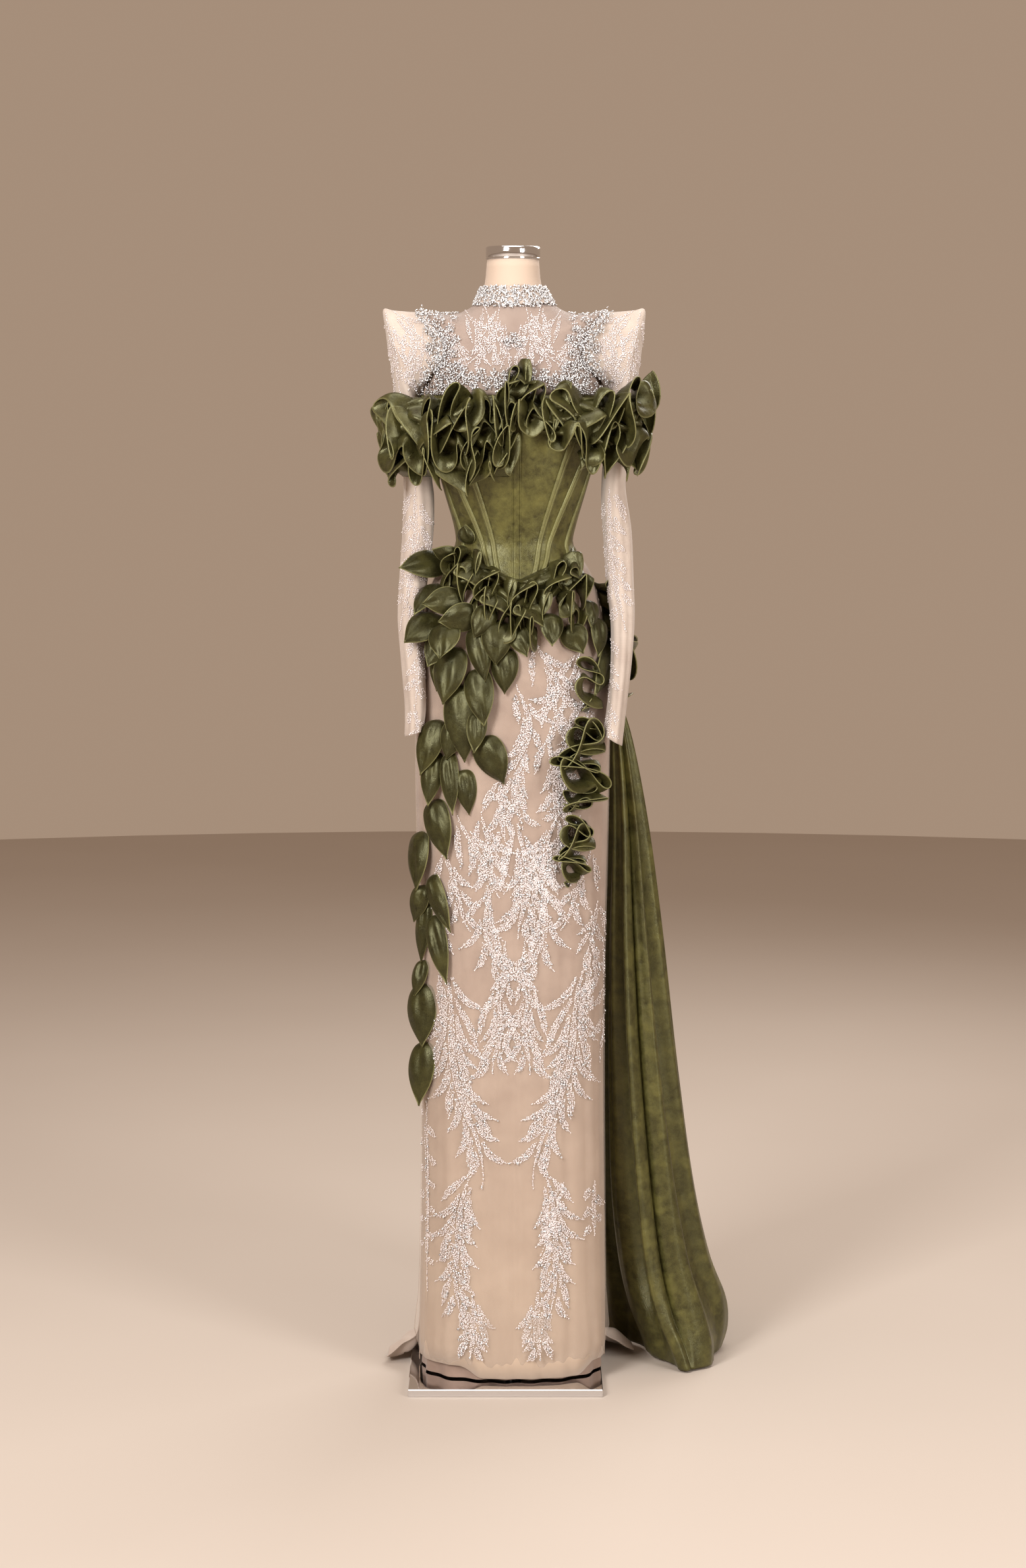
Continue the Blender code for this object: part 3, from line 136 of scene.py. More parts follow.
# Sleeves: rings with an outer and an inner point, from just past the armhole to the cuff.
# All x are distances from the gown's centre line. Pinch narrows the outer side to a ridge.
Cuff = namedtuple("Cuff", "outer_x outer_z inner_x inner_z half_depth mid_y pinch")
RIGHT_SLEEVE = [
    Cuff(0.1640, 1.6885, 0.1500, 1.5520, 0.0490, -0.002, 0.25),
    Cuff(0.1870, 1.6905, 0.1490, 1.5400, 0.0480, -0.002, 0.55),
    Cuff(0.2010, 1.6920, 0.1450, 1.5280, 0.0470, -0.002, 0.85),
    Cuff(0.1975, 1.6640, 0.1400, 1.5150, 0.0460, -0.003, 0.60),
    Cuff(0.1930, 1.6300, 0.1370, 1.5030, 0.0460, -0.004, 0.30),
    Cuff(0.1870, 1.5930, 0.1340, 1.4900, 0.0450, -0.005, 0.05),
    Cuff(0.1800, 1.5350, 0.1300, 1.4600, 0.0430, -0.006, 0.0),
    Cuff(0.1730, 1.4700, 0.1280, 1.4300, 0.0410, -0.006, 0.0),
    Cuff(0.1690, 1.4170, 0.1250, 1.4000, 0.0390, -0.007, 0.0),
    Cuff(0.1710, 1.3500, 0.1260, 1.3450, 0.0340, -0.010, 0.0),
    Cuff(0.1760, 1.2660, 0.1350, 1.2660, 0.0300, -0.022, 0.0),
    Cuff(0.1775, 1.2120, 0.1400, 1.2120, 0.0290, -0.042, 0.0),
    Cuff(0.1720, 1.1450, 0.1390, 1.1450, 0.0280, -0.062, 0.0),
    Cuff(0.1670, 1.0790, 0.1375, 1.0790, 0.0280, -0.071, 0.0),
    Cuff(0.1675, 1.0340, 0.1420, 1.0420, 0.0270, -0.074, 0.0),
]
LEFT_SLEEVE = [
    Cuff(0.1650, 1.6885, 0.1540, 1.5520, 0.0490, -0.002, 0.25),
    Cuff(0.1890, 1.6905, 0.1540, 1.5400, 0.0480, -0.002, 0.55),
    Cuff(0.2040, 1.6920, 0.1520, 1.5280, 0.0470, -0.002, 0.85),
    Cuff(0.2030, 1.6650, 0.1500, 1.5150, 0.0460, -0.003, 0.60),
    Cuff(0.1990, 1.6300, 0.1480, 1.5030, 0.0460, -0.004, 0.30),
    Cuff(0.1940, 1.5930, 0.1450, 1.4900, 0.0450, -0.005, 0.05),
    Cuff(0.1860, 1.5350, 0.1420, 1.4600, 0.0430, -0.006, 0.0),
    Cuff(0.1790, 1.4700, 0.1405, 1.4300, 0.0410, -0.006, 0.0),
    Cuff(0.1750, 1.4170, 0.1400, 1.4000, 0.0390, -0.007, 0.0),
    Cuff(0.1840, 1.3500, 0.1430, 1.3450, 0.0340, -0.012, 0.0),
    Cuff(0.1870, 1.2660, 0.1480, 1.2660, 0.0300, -0.028, 0.0),
    Cuff(0.1880, 1.2120, 0.1540, 1.2120, 0.0290, -0.046, 0.0),
    Cuff(0.1830, 1.1450, 0.1540, 1.1450, 0.0280, -0.064, 0.0),
    Cuff(0.1750, 1.0790, 0.1480, 1.0790, 0.0280, -0.074, 0.0),
    Cuff(0.1680, 1.0200, 0.1420, 1.0360, 0.0270, -0.080, 0.0),
]

# Ruffles: the sewn edge's path as turn around the gown in degrees (0 front, + to the
# wearer's left) and z, with how far the cloth leans up, its height and the sway of its waves
Tack = namedtuple("Tack", "turn z lean height swing")
BUST_FRILL_RIGHT = [
    Tack(-92, 1.532, 8, 0.030, 0.008),
    Tack(-76, 1.540, 8, 0.038, 0.013),
    Tack(-52, 1.546, 8, 0.042, 0.017),
    Tack(-28, 1.546, 8, 0.042, 0.017),
    Tack(-1, 1.544, 8, 0.038, 0.014),
    Tack(1, 1.524, 4, 0.038, 0.012),
    Tack(-20, 1.520, 4, 0.044, 0.017),
    Tack(-42, 1.518, 4, 0.047, 0.019),
    Tack(-66, 1.516, 4, 0.044, 0.018),
    Tack(-90, 1.512, 2, 0.030, 0.010),
    Tack(-92, 1.496, 0, 0.030, 0.009),
    Tack(-76, 1.490, 0, 0.040, 0.016),
    Tack(-52, 1.488, 0, 0.047, 0.019),
    Tack(-28, 1.490, 0, 0.046, 0.018),
    Tack(-6, 1.490, 0, 0.038, 0.013),
    Tack(-9, 1.472, 0, 0.036, 0.011),
    Tack(-26, 1.463, -4, 0.042, 0.016),
    Tack(-48, 1.460, -4, 0.042, 0.017),
    Tack(-70, 1.462, -4, 0.036, 0.015),
    Tack(-88, 1.470, -4, 0.026, 0.009),
]
BUST_FRILL_LEFT = [
    Tack(5, 1.560, 10, 0.032, 0.011),
    Tack(26, 1.560, 10, 0.036, 0.014),
    Tack(48, 1.557, 10, 0.040, 0.016),
    Tack(70, 1.558, 12, 0.036, 0.016),
    Tack(90, 1.562, 26, 0.032, 0.010),
    Tack(93, 1.542, 8, 0.026, 0.008),
    Tack(78, 1.532, 4, 0.036, 0.016),
    Tack(56, 1.528, 4, 0.044, 0.018),
    Tack(34, 1.532, 4, 0.042, 0.016),
    Tack(9, 1.538, 4, 0.036, 0.011),
    Tack(22, 1.518, 0, 0.034, 0.010),
    Tack(38, 1.504, 0, 0.042, 0.016),
    Tack(60, 1.500, 0, 0.044, 0.018),
    Tack(82, 1.500, 0, 0.032, 0.014),
    Tack(90, 1.486, -2, 0.026, 0.009),
    Tack(76, 1.476, -4, 0.036, 0.016),
    Tack(58, 1.474, -4, 0.040, 0.016),
    Tack(44, 1.482, -4, 0.036, 0.012),
]
BUST_FRILL_CENTRE = [
    Tack(-10, 1.566, 10, 0.022, 0.008),
    Tack(-5, 1.580, 14, 0.032, 0.016),
    Tack(3, 1.590, 14, 0.034, 0.018),
    Tack(10, 1.594, 10, 0.024, 0.010),
]
HIP_FRILL_RIGHT = [
    Tack(-64, 1.306, 8, 0.024, 0.008),
    Tack(-52, 1.310, 10, 0.034, 0.015),
    Tack(-38, 1.304, 6, 0.036, 0.016),
    Tack(-30, 1.292, 0, 0.034, 0.012),
    Tack(-40, 1.284, -2, 0.034, 0.014),
    Tack(-54, 1.286, -2, 0.030, 0.012),
    Tack(-62, 1.290, 0, 0.022, 0.007),
]
HIP_FRILL_MIDDLE = [
    Tack(-30, 1.280, 6, 0.030, 0.010),
    Tack(-20, 1.276, 6, 0.038, 0.016),
    Tack(-8, 1.266, 0, 0.036, 0.013),
    Tack(-10, 1.252, -4, 0.036, 0.012),
    Tack(-20, 1.250, -8, 0.038, 0.015),
    Tack(-31, 1.258, -6, 0.028, 0.009),
]
HIP_FRILL_CENTRE = [
    Tack(-1, 1.258, 10, 0.030, 0.010),
    Tack(10, 1.258, 8, 0.038, 0.017),
    Tack(20, 1.252, 4, 0.036, 0.012),
    Tack(20, 1.240, 0, 0.036, 0.012),
    Tack(10, 1.232, 0, 0.040, 0.017),
    Tack(-1, 1.228, 0, 0.038, 0.012),
    Tack(-4, 1.216, -6, 0.036, 0.010),
    Tack(6, 1.205, -10, 0.038, 0.015),
    Tack(18, 1.208, -8, 0.030, 0.009),
]
HIP_FRILL_LEFT = [
    Tack(30, 1.268, 4, 0.030, 0.010),
    Tack(34, 1.288, 8, 0.036, 0.013),
    Tack(46, 1.298, 10, 0.038, 0.017),
    Tack(58, 1.294, 6, 0.032, 0.013),
    Tack(63, 1.281, 2, 0.028, 0.008),
    Tack(54, 1.266, 0, 0.036, 0.014),
    Tack(42, 1.258, -2, 0.038, 0.014),
    Tack(38, 1.246, -4, 0.036, 0.010),
    Tack(46, 1.236, -8, 0.036, 0.014),
    Tack(57, 1.238, -6, 0.028, 0.009),
]
GARLAND_UPPER = [
    Tack(57, 1.160, 0, 0.022, 0.006),
    Tack(56, 1.135, 0, 0.034, 0.016),
    Tack(56, 1.105, 0, 0.036, 0.018),
    Tack(56.3, 1.078, 0, 0.024, 0.006),
]
GARLAND_BUNCH = [
    Tack(56, 1.058, 0, 0.026, 0.010),
    Tack(52, 1.034, 0, 0.036, 0.026),
    Tack(50, 1.004, 0, 0.040, 0.032),
    Tack(50, 0.974, 0, 0.040, 0.032),
    Tack(49, 0.946, 0, 0.036, 0.024),
    Tack(49, 0.922, 0, 0.026, 0.010),
]
GARLAND_TAIL = [
    Tack(49, 0.908, 0, 0.024, 0.008),
    Tack(48, 0.884, 0, 0.034, 0.023),
    Tack(46, 0.856, 0, 0.032, 0.018),
    Tack(45, 0.832, 0, 0.030, 0.015),
    Tack(44, 0.808, 0, 0.020, 0.006),
]
GARLAND_BACK = [
    Tack(84, 1.272, 0, 0.024, 0.007),
    Tack(88, 1.235, 0, 0.048, 0.016),
    Tack(90, 1.190, 0, 0.052, 0.018),
    Tack(90, 1.140, 0, 0.048, 0.014),
    Tack(90, 1.085, 0, 0.030, 0.009),
]

# Beaded sprigs: a stem and the leaves that branch from it by turns. x and z of its start in
# millimetres, its heading in degrees from straight down towards the middle line (or towards
# the wearer's left, for a single one), how far it bends and sways, its length, the number and
# reach of its leaves, and the width that the beads fill
Sprig = namedtuple("Sprig", "x z heading bend sway length leaves reach width")
SKIRT_PAIRS = [
    Sprig(-94, 914, 18, 20, 10, 150, 7, 62, 10),
    Sprig(-58, 920, 6, 6, 12, 130, 6, 56, 9),
    Sprig(-34, 800, -26, 84, 0, 170, 8, 56, 10),
    Sprig(-110, 864, 2, 30, 8, 140, 6, 56, 9),
    Sprig(-14, 718, -10, 14, 12, 110, 5, 46, 9),
    Sprig(-24, 652, -6, 8, 14, 150, 9, 66, 10),
    Sprig(-118, 690, 30, -36, -18, 380, 21, 84, 11),
    Sprig(-52, 356, -26, 46, 6, 250, 15, 64, 10),
    Sprig(-50, 160, 0, -4, 4, 112, 8, 44, 11),
    Sprig(-124, 774, 4, 12, 0, 80, 5, 44, 8),
]
SKIRT_SINGLES = [
    Sprig(34, 1192, 4, 44, 16, 130, 6, 54, 9),
    Sprig(104, 1172, -20, -30, 12, 130, 6, 54, 9),
    Sprig(62, 1116, 6, 40, -12, 140, 6, 52, 10),
    Sprig(122, 1110, -18, -16, 12, 150, 6, 50, 10),
    Sprig(4, 1118, 22, -46, 10, 142, 6, 50, 10),
    Sprig(56, 1040, -10, 30, 16, 140, 6, 52, 11),
    Sprig(22, 1016, -18, 30, -12, 130, 6, 52, 11),
    Sprig(-16, 976, -20, 48, 12, 112, 5, 46, 10),
    Sprig(90, 992, -6, -24, 10, 104, 5, 44, 9),
    Sprig(8, 906, 0, 0, 16, 190, 12, 76, 12),
    Sprig(118, 716, 6, -30, 16, 124, 4, 42, 10),
    Sprig(136, 716, 0, -2, 8, 205, 6, 40, 9),
    Sprig(124, 328, -2, 4, 0, 90, 5, 24, 9),
    Sprig(78, 334, -12, -10, 0, 124, 6, 24, 9),
    Sprig(-132, 456, -3, 6, 3, 310, 12, 18, 8),
]
SEED_PAIRS = [
    Sprig(-18, 1700, -18, -26, 16, 124, 7, 39, 6),
    Sprig(-43, 1703, 4, 10, 14, 100, 6, 36, 6),
    Sprig(-74, 1692, 26, -20, 14, 90, 6, 36, 6),
    Sprig(-96, 1676, 12, 16, -10, 80, 5, 36, 6),
    Sprig(-12, 1668, 6, -24, 10, 70, 5, 27, 6),
    Sprig(-198, 1690, 12, -2, 5, 132, 7, 51, 8),
    Sprig(-188, 1690, 58, -40, 10, 76, 4, 36, 7),
    Sprig(-162, 1672, 4, -8, 14, 106, 6, 36, 7),
    Sprig(-138, 1660, -6, -18, 12, 86, 5, 30, 7),
    Sprig(-150, 1424, -4, -4, 6, 230, 12, 40, 11),
    Sprig(-147, 1196, -5, 6, 8, 110, 6, 30, 9),
    Sprig(-154, 1086, 4, 4, 6, 56, 3, 21, 7),
]
STONE_PAIRS = [
    Sprig(-152, 1684, 86, 8, 0, 68, 5, 18, 9),
    Sprig(-136, 1674, 60, -22, 10, 62, 6, 18, 12),
    Sprig(-126, 1652, 28, 12, 10, 68, 6, 20, 12),
    Sprig(-134, 1616, 40, 42, 0, 86, 7, 20, 12),
    Sprig(-156, 1564, 96, -14, -8, 90, 8, 18, 14),
    Sprig(-114, 1608, 50, 22, 6, 62, 6, 16, 13),
    Sprig(-72, 1586, 80, 12, 6, 68, 6, 16, 12),
    Sprig(-36, 1574, 90, 44, 4, 52, 5, 16, 12),
    Sprig(-20, 1642, 90, 0, 6, 34, 3, 10, 8),
]

# Leaves, and the small ones between them: base and tip as x and z on the gown's front, width,
# how far the base stands off the skirt, how far the tip stands in front of the gown's middle,
# and how far the sewn end of the stem is let down further to lie on the cloth
Leaf = namedtuple("Leaf", "base_x base_z tip_x tip_z width base_out tip_front sink")
LEAVES = [
    Leaf(-0.100, 1.302, -0.177, 1.295, 0.041, 0.004, 0.085, 0.0000),
    Leaf(-0.066, 1.332, -0.074, 1.362, 0.027, 0.004, 0.068, 0.0012),
    Leaf(-0.073, 1.248, -0.141, 1.241, 0.038, 0.010, 0.104, 0.0010),
    Leaf(-0.050, 1.224, -0.116, 1.214, 0.040, 0.010, 0.112, 0.0008),
    Leaf(-0.108, 1.219, -0.168, 1.183, 0.041, 0.010, 0.112, 0.0019),
    Leaf(-0.112, 1.268, -0.153, 1.222, 0.030, 0.003, 0.092, 0.0017),
    Leaf(-0.085, 1.210, -0.112, 1.156, 0.046, 0.018, 0.122, 0.0011),
    Leaf(-0.021, 1.215, -0.027, 1.148, 0.042, 0.010, 0.128, 0.0007),
    Leaf(-0.053, 1.207, -0.043, 1.121, 0.035, 0.006, 0.122, 0.0012),
    Leaf(-0.012, 1.173, -0.013, 1.102, 0.038, 0.003, 0.116, 0.0000),
    Leaf(0.079, 1.206, 0.108, 1.163, 0.038, 0.006, 0.095, 0.0006),
    Leaf(0.122, 1.218, 0.131, 1.156, 0.032, 0.008, 0.074, 0.0019),
    Leaf(0.110, 1.244, 0.122, 1.203, 0.025, 0.010, 0.090, 0.0026),
    Leaf(-0.110, 1.172, -0.119, 1.104, 0.024, 0.003, 0.086, 0.0009),
    Leaf(-0.083, 1.173, -0.109, 1.086, 0.048, 0.006, 0.114, 0.0007),
    Leaf(-0.053, 1.141, -0.044, 1.052, 0.041, 0.003, 0.126, 0.0009),
    Leaf(-0.075, 1.115, -0.075, 0.996, 0.053, 0.002, 0.115, 0.0014),
    Leaf(-0.045, 1.035, -0.014, 0.962, 0.046, 0.003, 0.116, 0.0000),
    Leaf(-0.108, 1.059, -0.144, 0.974, 0.038, 0.006, 0.095, 0.0011),
    Leaf(-0.113, 1.009, -0.132, 0.925, 0.032, 0.003, 0.094, 0.0009),
    Leaf(-0.093, 1.010, -0.093, 0.913, 0.026, 0.004, 0.110, 0.0000),
    Leaf(-0.072, 0.984, -0.068, 0.913, 0.030, 0.002, 0.108, 0.0000),
    Leaf(-0.116, 0.935, -0.102, 0.843, 0.042, 0.005, 0.100, 0.0007),
    Leaf(-0.136, 0.882, -0.152, 0.789, 0.042, 0.005, 0.072, 0.0008),
    Leaf(-0.128, 0.797, -0.156, 0.739, 0.030, 0.009, 0.062, 0.0018),
    Leaf(-0.121, 0.816, -0.096, 0.728, 0.030, 0.004, 0.102, 0.0012),
    Leaf(-0.129, 0.771, -0.145, 0.674, 0.025, 0.001, 0.060, 0.0015),
    Leaf(-0.117, 0.753, -0.102, 0.646, 0.030, 0.003, 0.100, 0.0000),
    Leaf(-0.133, 0.640, -0.143, 0.540, 0.048, 0.004, 0.065, 0.0000),
    Leaf(-0.131, 0.547, -0.147, 0.445, 0.042, 0.003, 0.060, 0.0007),
]

SMALL_LEAVES = [
    Leaf(-0.076, 1.312, -0.125, 1.324, 0.026, 0.010, 0.085, 0.0000),
    Leaf(0.002, 1.206, 0.022, 1.160, 0.030, 0.010, 0.128, 0.0000),
    Leaf(-0.047, 1.076, -0.060, 1.011, 0.028, 0.010, 0.126, 0.0000),
    Leaf(-0.133, 0.677, -0.156, 0.621, 0.024, 0.003, 0.062, 0.0000),
    Leaf(0.052, 1.226, 0.060, 1.176, 0.032, 0.010, 0.122, 0.0000),
    Leaf(-0.030, 1.236, -0.060, 1.190, 0.034, 0.014, 0.124, 0.0000),
    Leaf(0.142, 1.172, 0.128, 1.098, 0.036, 0.008, 0.094, 0.0000),
    Leaf(0.150, 1.146, 0.158, 1.082, 0.030, 0.008, 0.058, 0.0000),
    Leaf(-0.098, 1.196, -0.132, 1.142, 0.036, 0.004, 0.094, 0.0000),
    Leaf(-0.082, 1.060, -0.104, 1.000, 0.034, 0.002, 0.108, 0.0000),
]

# Velvet train: plan sections from the gathered top to the floor, each with its z and the
# points where the cloth crosses behind the skirt, runs forward, turns at the front fold,
# runs back outside and ends behind
Drop = namedtuple("Drop", "z start_x start_y side_x side_y fold_x fold_y outer_x outer_y end_x end_y ripple")
TRAIN = [
    Drop(1.110, 0.1425, 0.0462, 0.1467, 0.0311, 0.153, 0.0188, 0.155, 0.033, 0.151, 0.049, 0.0),
    Drop(1.030, 0.150, 0.064, 0.157, 0.044, 0.170, 0.030, 0.181, 0.044, 0.177, 0.072, 0.002),
    Drop(0.880, 0.146, 0.092, 0.160, 0.054, 0.184, 0.030, 0.206, 0.056, 0.196, 0.110, 0.004),
    Drop(0.700, 0.136, 0.120, 0.158, 0.060, 0.192, 0.024, 0.227, 0.066, 0.214, 0.150, 0.006),
    Drop(0.500, 0.124, 0.150, 0.158, 0.068, 0.204, 0.016, 0.250, 0.080, 0.234, 0.200, 0.007),
    Drop(0.300, 0.108, 0.186, 0.163, 0.080, 0.222, 0.006, 0.277, 0.098, 0.256, 0.250, 0.008),
    Drop(0.170, 0.104, 0.240, 0.176, 0.098, 0.238, -0.002, 0.306, 0.112, 0.278, 0.300, 0.008),
    Drop(0.090, 0.098, 0.286, 0.190, 0.112, 0.256, -0.010, 0.338, 0.128, 0.300, 0.350, 0.007),
    Drop(0.040, 0.094, 0.326, 0.202, 0.122, 0.274, -0.016, 0.346, 0.136, 0.310, 0.390, 0.005),
    Drop(0.004, 0.092, 0.350, 0.210, 0.126, 0.284, -0.020, 0.340, 0.140, 0.306, 0.420, 0.003),
]

# Net sweep behind the plate: run outwards from the skirt, z, and the height of its ripples
Sweep = namedtuple("Sweep", "run z ripple")
NET_SWEEP = [
    Sweep(0.0000, 0.300, 0.0),
    Sweep(0.0015, 0.180, 0.001),
    Sweep(0.0070, 0.080, 0.003),
    Sweep(0.0180, 0.040, 0.006),
    Sweep(0.0450, 0.022, 0.010),
    Sweep(0.0850, 0.012, 0.012),
    Sweep(0.1250, 0.005, 0.009),
    Sweep(0.1550, 0.003, 0.005),
]

# Lines of the gown
def curve(before, start, stop, after, share):
    """A smooth way from start to stop that heeds the points beside them."""
    bend = 2 * before - 5 * start + 4 * stop - after + share * (3 * (start - stop) + after - before)
    return start + 0.5 * share * (stop - before + share * bend)


def blend(rows, position):
    """The table's values at running positions, on a smooth curve through its rows."""
    table = np.asarray(rows, float)
    last = len(table) - 1
    position = np.clip(np.asarray(position, float), 0.0, last - 1e-9)
    index = position.astype(int)
    values = curve(table[np.maximum(index - 1, 0)], table[index], table[index + 1],
                   table[np.minimum(index + 2, last)], (position - index)[..., None])
    return type(rows[0])(*np.moveaxis(values, -1, 0))


def section(half_width, depth, square, turn):
    """Point of a squarish oval at a turn from the front, as x and y."""
    across, along = np.abs(np.sin(turn)) / half_width, np.abs(np.cos(turn)) / depth
    reach = (across ** square + along ** square) ** (-1.0 / square)
    return reach * np.sin(turn), -reach * np.cos(turn)


def section_out(half_width, depth, square, turn):
    """Level direction out of such an oval."""
    x, y = section(half_width, depth, square, turn)
    across = np.sign(x) * np.abs(x / half_width) ** (square - 1) / half_width
    along = np.sign(y) * np.abs(y / depth) ** (square - 1) / depth
    return unit(np.stack([across, along, 0.0 * across], -1))


def unit(vectors):
    """The vectors at length one."""
    return vectors / np.maximum(np.linalg.norm(vectors, axis=-1, keepdims=True), 1e-12)


def ease(low, high, value):
    """0 below low, 1 above high and a soft rise between them."""
    share = np.clip((value - low) / (high - low), 0.0, 1.0)
    return share * share * (3.0 - 2.0 * share)


def body_point(row, turn, out=0.0):
    """Point of the gown's body at a running row of BODY and a turn, so far outside it."""
    row, turn = np.broadcast_arrays(np.asarray(row, float), np.asarray(turn, float))
    ring = blend(BODY, row)
    facing = np.cos(turn) > 0
    depth = np.where(facing, ring.front, ring.back) + out
    x, y = section(ring.half_width + out, depth, ring.square, turn)
    rise = np.maximum(0.0, 1.0 - np.abs(row - SLOPE_ROW) / SLOPE_ROW)
    middle = np.where(facing, ring.z_front, ring.z_back)
    z = middle + (ring.z_side - middle) * np.sin(turn) ** 2 + out * rise
    return np.stack([ring.centre_x + x, y, z], -1)


def row_at(z, first=UNDERARM_ROW):
    """Running row of BODY, from the first one on, whose front lies at a height."""
    steps = np.linspace(first, len(BODY) - 1.0, ROW_STEPS)
    return np.interp(-np.asarray(z, float), -blend(BODY, steps).z_front, steps)


def turn_at(x, row):
    """Turn, on the front, of the point of a body row with the given x."""
    ring = blend(BODY, row)
    share = np.minimum(np.abs(x - ring.centre_x) / ring.half_width, 1.0)
    depth = ring.front * (1.0 - share ** ring.square) ** (1.0 / ring.square)
    return np.arctan2(x - ring.centre_x, depth)


def outward(row, turn):
    """Level direction away from the body."""
    ring = blend(BODY, row)
    depth = np.where(np.cos(turn) > 0, ring.front, ring.back)
    return section_out(ring.half_width, depth, ring.square, turn)


def corset_foot(turn):
    """Height of the corset's lower edge, a shallow V with its point at the busk."""
    reach = (np.abs(turn - BUSK_TURN) - BUSK_FLAT) / CORSET_V_TURN
    return CORSET_FOOT + CORSET_V_RISE * np.clip(reach, 0.0, 1.0)


# Making and dressing
def dress(piece, finish, replaces=()):
    """Lets a piece ride on the gown with its finish, and stand for its solids."""
    piece.data.materials.append(finish)
    bpy.context.scene.collection.objects.link(piece)
    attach(piece, "root")
    if replaces:
        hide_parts(*replaces)
    return piece


def loop_places(mesh):
    """Index of the point at each face corner."""
    found = np.empty(len(mesh.loops), np.int32)
    mesh.loops.foreach_get("vertex_index", found)
    return found


def face_out(mesh, points, away):
    """Turns the mesh inside out if its faces point against the away directions."""
    corners = loop_places(mesh)
    starts = np.empty(len(mesh.polygons), np.int32)
    mesh.polygons.foreach_get("loop_start", starts)
    a, b, c = (points[corners[starts + step]] for step in range(3))
    if np.sum(np.cross(b - a, c - a) * away[corners[starts]]) < 0.0:
        mesh.flip_normals()


def mark_rim_highlight(mesh, share):
    """Keeps how much each point lies on an edge, where its finish paints a highlight."""
    mesh.attributes.new("rim", "FLOAT", "POINT").data.foreach_set("value", share)


def cloth(name, place, columns, rows, finish, replaces=(), wall=0.0, offset=1.0,
          closed=False, size=(1.0, 1.0), rim=None):
    """A sheet of cloth laid on place(u, v), closed into a tube if asked, with a wall."""
    grid = bmesh.new()
    bmesh.ops.create_grid(grid, x_segments=columns, y_segments=rows, size=0.5)
    mesh = bpy.data.meshes.new(name)
    grid.to_mesh(mesh)
    flat = np.empty(len(mesh.vertices) * 3)
    mesh.vertices.foreach_get("co", flat)
    flat = flat.reshape(-1, 3)[:, :2] + 0.5
    points = place(flat[:, 0], flat[:, 1])
    mesh.vertices.foreach_set("co", points.ravel())
    cuts = mesh.uv_layers.new(name="cut")
    cuts.data.foreach_set("uv", (flat[loop_places(mesh)] * size).ravel())
    middle = points.mean(0) if closed else np.zeros(3)
    face_out(mesh, points, (points - middle) * (1.0, 1.0, 0.0))
    if closed:
        grid.clear()
        grid.from_mesh(mesh)
        bmesh.ops.remove_doubles(grid, verts=grid.verts, dist=MERGE)
        grid.to_mesh(mesh)
    grid.free()
    # rim gives each point's share of the highlight that the finish paints along edges.
    if rim is not None:
        mark_rim_highlight(mesh, rim(flat[:, 0], flat[:, 1]))
    mesh.shade_smooth()
    piece = bpy.data.objects.new(name, mesh)
    if wall:
        thick = piece.modifiers.new("wall", "SOLIDIFY")
        thick.thickness = wall
        thick.offset = offset
        thick.use_quality_normals = True
    return dress(piece, finish, replaces)


def turned(name, profile, steps, finish, replaces=()):
    """A turned piece from (radius, z) pairs, from the axis at its top to the axis at its foot."""
    (_, top), *rings, (_, foot) = profile
    turns = [2 * pi * step / steps for step in range(steps)]
    points = [(radius * cos(turn), radius * sin(turn), z) for radius, z in rings for turn in turns]
    lowest = len(points) - steps
    points += [(0.0, 0.0, top), (0.0, 0.0, foot)]
    faces = []
    for here in range(steps):
        after = (here + 1) % steps
        faces.append((len(points) - 2, here, after))
        for upper in range(0, lowest, steps):
            lower = upper + steps
            faces.append((upper + here, lower + here, lower + after, upper + after))
        faces.append((len(points) - 1, lowest + after, lowest + here))
    mesh = bpy.data.meshes.new(name)
    mesh.from_pydata(points, [], faces)
    mesh.shade_smooth()
    return dress(bpy.data.objects.new(name, mesh), finish, replaces)


def bead_shape(sides, levels):
    """Points and faces of one small faceted bead, each way one unit across."""
    made = bmesh.new()
    bmesh.ops.create_uvsphere(made, u_segments=sides, v_segments=levels, radius=0.5)
    made.verts.index_update()
    points = np.array([v.co for v in made.verts])
    faces = [[v.index for v in face.verts] for face in made.faces]
    made.free()
    return points, faces


def sew_beads(name, shape, centres, frames, sizes, finish):
    """Many copies of one bead as one mesh: frames are three directions for each of them."""
    points, faces = bead_shape(*shape)
    number = len(centres)
    placed = centres[:, None, :] + (points[None] * sizes[:, None, :]) @ frames
    corners = np.concatenate([np.array(face, np.int32) for face in faces])
    counts = np.array([len(face) for face in faces], np.int32)
    all_corners = (corners[None] + (np.arange(number) * len(points))[:, None]).ravel()
    all_counts = np.tile(counts, number)
    mesh = bpy.data.meshes.new(name)
    mesh.vertices.add(number * len(points))
    mesh.vertices.foreach_set("co", placed.ravel())
    mesh.loops.add(len(all_corners))
    mesh.loops.foreach_set("vertex_index", all_corners.astype(np.int32))
    mesh.polygons.add(len(all_counts))
    starts = np.cumsum(all_counts) - all_counts
    mesh.polygons.foreach_set("loop_start", starts.astype(np.int32))
    mesh.update(calc_edges=True)
    mesh.validate()
    return dress(bpy.data.objects.new(name, mesh), finish)


